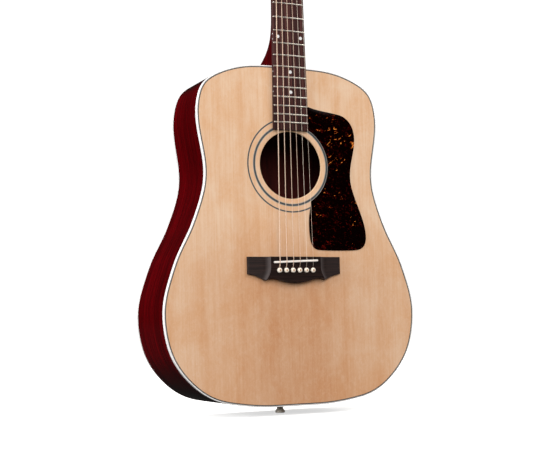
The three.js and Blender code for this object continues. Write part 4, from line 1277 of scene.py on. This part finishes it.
# ------------------------------------------------------------------ strings
def string_path(i):
    """From the ball end, over saddle and nut, to its turns round the post."""
    r = STRING_RADII[i]
    px, nx = PIN_XS[i], NUT_XS[i]
    sign, x, w = POSTS[i]
    over_saddle = SADDLE_TOP + crown(px) - r
    over_nut = NUT_FLOOR + crown(nx) - r
    path = [
        (px, 8, STRING_ENTRY_Z),
        (px, BRIDGE_TOP + 0.2, STRING_ENTRY_Z - 0.2),
        (px, BRIDGE_TOP - 1.0 - r, STRING_ENTRY_Z + 0.9),
        (px, over_saddle + 0.05, saddle_z(px) - 0.7),
        (px, over_saddle, saddle_z(px) + 0.4),
        (nx, over_nut, NUT_Z),
        (nx, over_nut, NUT_Z + 1.4),
    ]
    wrap = POST_R + r + 0.02
    start = math.pi if sign > 0 else 0.0
    per_turn = 24
    coil = []
    for k in range(int(per_turn * (2.6 if i < WOUND_STRINGS else 3.4)) + 1):
        angle = start - sign * 2 * math.pi * k / per_turn
        y = -8.0 + (k / per_turn) * (2 * r + 0.04)
        coil.append(at_head(x + wrap * math.cos(angle), y, w + wrap * math.sin(angle)))
    return rounded(path + coil[:1], 0.8, 4)[:-1] + coil


def make_strings():
    ball = [(0, -1.8), (1.7, -1.8), (1.9, -1.4), (1.3, -0.5)]
    ball += [(r, -a) for r, a in ball[::-1]]
    for i in range(6):
        wound = i < WOUND_STRINGS
        made = [tube(string_path(i), STRING_RADII[i], 14 if wound else 10)]
        made.append(lathe(ball, (PIN_XS[i], 7.6, STRING_ENTRY_Z), (1, 0, 0), 20))
        material, slot = (WOUND, "bronze_wound") if wound else (PLAIN, "plain_steel")
        piece(f"string_{i + 1}_wire", made, material, f"string_{i + 1}", sharp=60)


# ------------------------------------------------------------------ carried-over CAD nodes
def dress_frame():
    """Materials and eased edges for the inner pieces that keep their CAD shape."""
    braces = ["x_brace_bass", "x_brace_treble", "tone_bar", "upper_transverse_brace"]
    looks = {
        BRACE_WOOD: braces + [f"back_brace_{n}" for n in range(1, 5)],
        SHADED_BARE_MAHOGANY: ["top_lining", "back_lining", "neck_block", "tail_block"],
        MAPLE: ["bridge_plate"],
        STEEL: ["truss_rod"],
        BRASS: ["truss_rod_nut"],
    }
    for material, nodes in looks.items():
        for name in nodes:
            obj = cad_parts[name]
            obj.data.materials.clear()
            obj.data.materials.append(material)
            ease = obj.modifiers.new("ease", "BEVEL")
            ease.width = 0.0004
            ease.segments = 2
            ease.limit_method = "ANGLE"


# ------------------------------------------------------------------ stage
FLOOR_REACH = 14.0
FLOOR_GLOW = 0.62
SURROUND = 1.1  # how bright the surroundings are to the camera
AMBIENT = 0.62  # to matt surfaces
AMBIENT_TINT = (1.0, 0.9, 0.8, 1)
REFLECTED = 0.03  # and in reflections
AIM = Vector((0, 0, 0.32))
LAMPS = (  # name, place, size and power
    ("key", (2.6, -3.2, 3.1), 1.7, 66),
    ("fill", (-1.2, -3.6, 1.6), 2.2, 74),
    ("left", (-3.4, -0.5, 0.9), 1.2, 70),
    ("back_left", (-2.8, 1.1, 1.6), 1.2, 36),
    ("back_right", (2.8, 1.1, 1.6), 1.2, 40),
    ("above", (0.0, 1.7, 3.2), 1.2, 50),
)
CAMERA_AT = (-0.736, -1.5636, 0.1299)
CAMERA_TURN = (25.19, 5.153, -1.463)  # yaw, pitch and roll in degrees
CAMERA_LENS = 73.74


def make_stage():
    """A pale floor that melts into a white surround, and soft lamps."""
    mesh = bpy.data.meshes.new("floor")
    corners = [(x * FLOOR_REACH, y * FLOOR_REACH, 0) for x, y in ((-1, -1), (1, -1), (1, 1), (-1, 1))]
    mesh.from_pydata(corners, [], [(0, 1, 2, 3)])
    floor = bpy.data.objects.new("floor", mesh)
    f = Finish("floor_pale", roughness=0.9, specular=0.0)
    seen = f.node("ShaderNodeLightPath").outputs["Is Camera Ray"]
    f.put("Base Color", f.mix(seen, (0.04, 0.04, 0.04, 1), (0.9, 0.9, 0.9, 1)))
    f.put("Emission Color", (1, 1, 1, 1))
    f.put("Emission Strength", f.calc("MULTIPLY", seen, FLOOR_GLOW))
    mesh.materials.append(f.material)
    floor.location.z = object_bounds()[0].z - 0.0005
    scene.collection.objects.link(floor)

    scene.world = bpy.data.worlds.new("studio")
    scene.world.use_nodes = True
    g = Graph(scene.world.node_tree)
    rays = g.node("ShaderNodeLightPath").outputs
    background = g.tree.nodes["Background"].inputs
    g.feed(background["Color"], g.mix(rays["Is Camera Ray"], AMBIENT_TINT, (1, 1, 1, 1)))
    strength = g.mix(rays["Is Glossy Ray"], AMBIENT, REFLECTED, kind="FLOAT")
    strength = g.mix(rays["Is Camera Ray"], strength, SURROUND, kind="FLOAT")
    g.feed(background["Strength"], strength)

    for name, where, size, power in LAMPS:
        lamp = bpy.data.lights.new(name, "AREA")
        lamp.size = size
        lamp.energy = power
        obj = bpy.data.objects.new(name, lamp)
        obj.location = where
        obj.rotation_euler = (AIM - Vector(where)).to_track_quat("-Z", "Y").to_euler()
        scene.collection.objects.link(obj)
    scene.view_settings.view_transform = "Standard"


def make_camera():
    """A tripod view from the bass side, a little below the sound hole's height."""
    data = bpy.data.cameras.new("camera")
    data.lens = CAMERA_LENS
    data.sensor_width = 36
    data.clip_end = 60
    camera = bpy.data.objects.new("camera", data)
    yaw, pitch, roll = (math.radians(a) for a in CAMERA_TURN)
    flat = math.cos(pitch)
    ahead = Vector((math.sin(yaw) * flat, math.cos(yaw) * flat, math.sin(pitch)))
    level = Vector((math.cos(yaw), -math.sin(yaw), 0))
    above = level.cross(ahead)
    right = level * math.cos(roll) + above * math.sin(roll)
    up = above * math.cos(roll) - level * math.sin(roll)
    turn = Matrix((right, up, -ahead)).transposed().to_4x4()
    camera.matrix_world = Matrix.Translation(CAMERA_AT) @ turn
    scene.collection.objects.link(camera)
    scene.camera = camera


make_bindings()
make_sides()
make_soundboard()
make_back()
make_rosette()
make_pickguard()
make_bridge()
make_saddle()
make_pins()
make_end_pin()
make_neck()
make_heel_cap()
make_fretboard()
make_frets()
make_markers()
make_nut()
make_veneer()
make_rod_cover()
make_head_fittings()
make_tuner_plates()
make_posts()
make_buttons()
make_strings()
dress_frame()
make_stage()
make_camera()
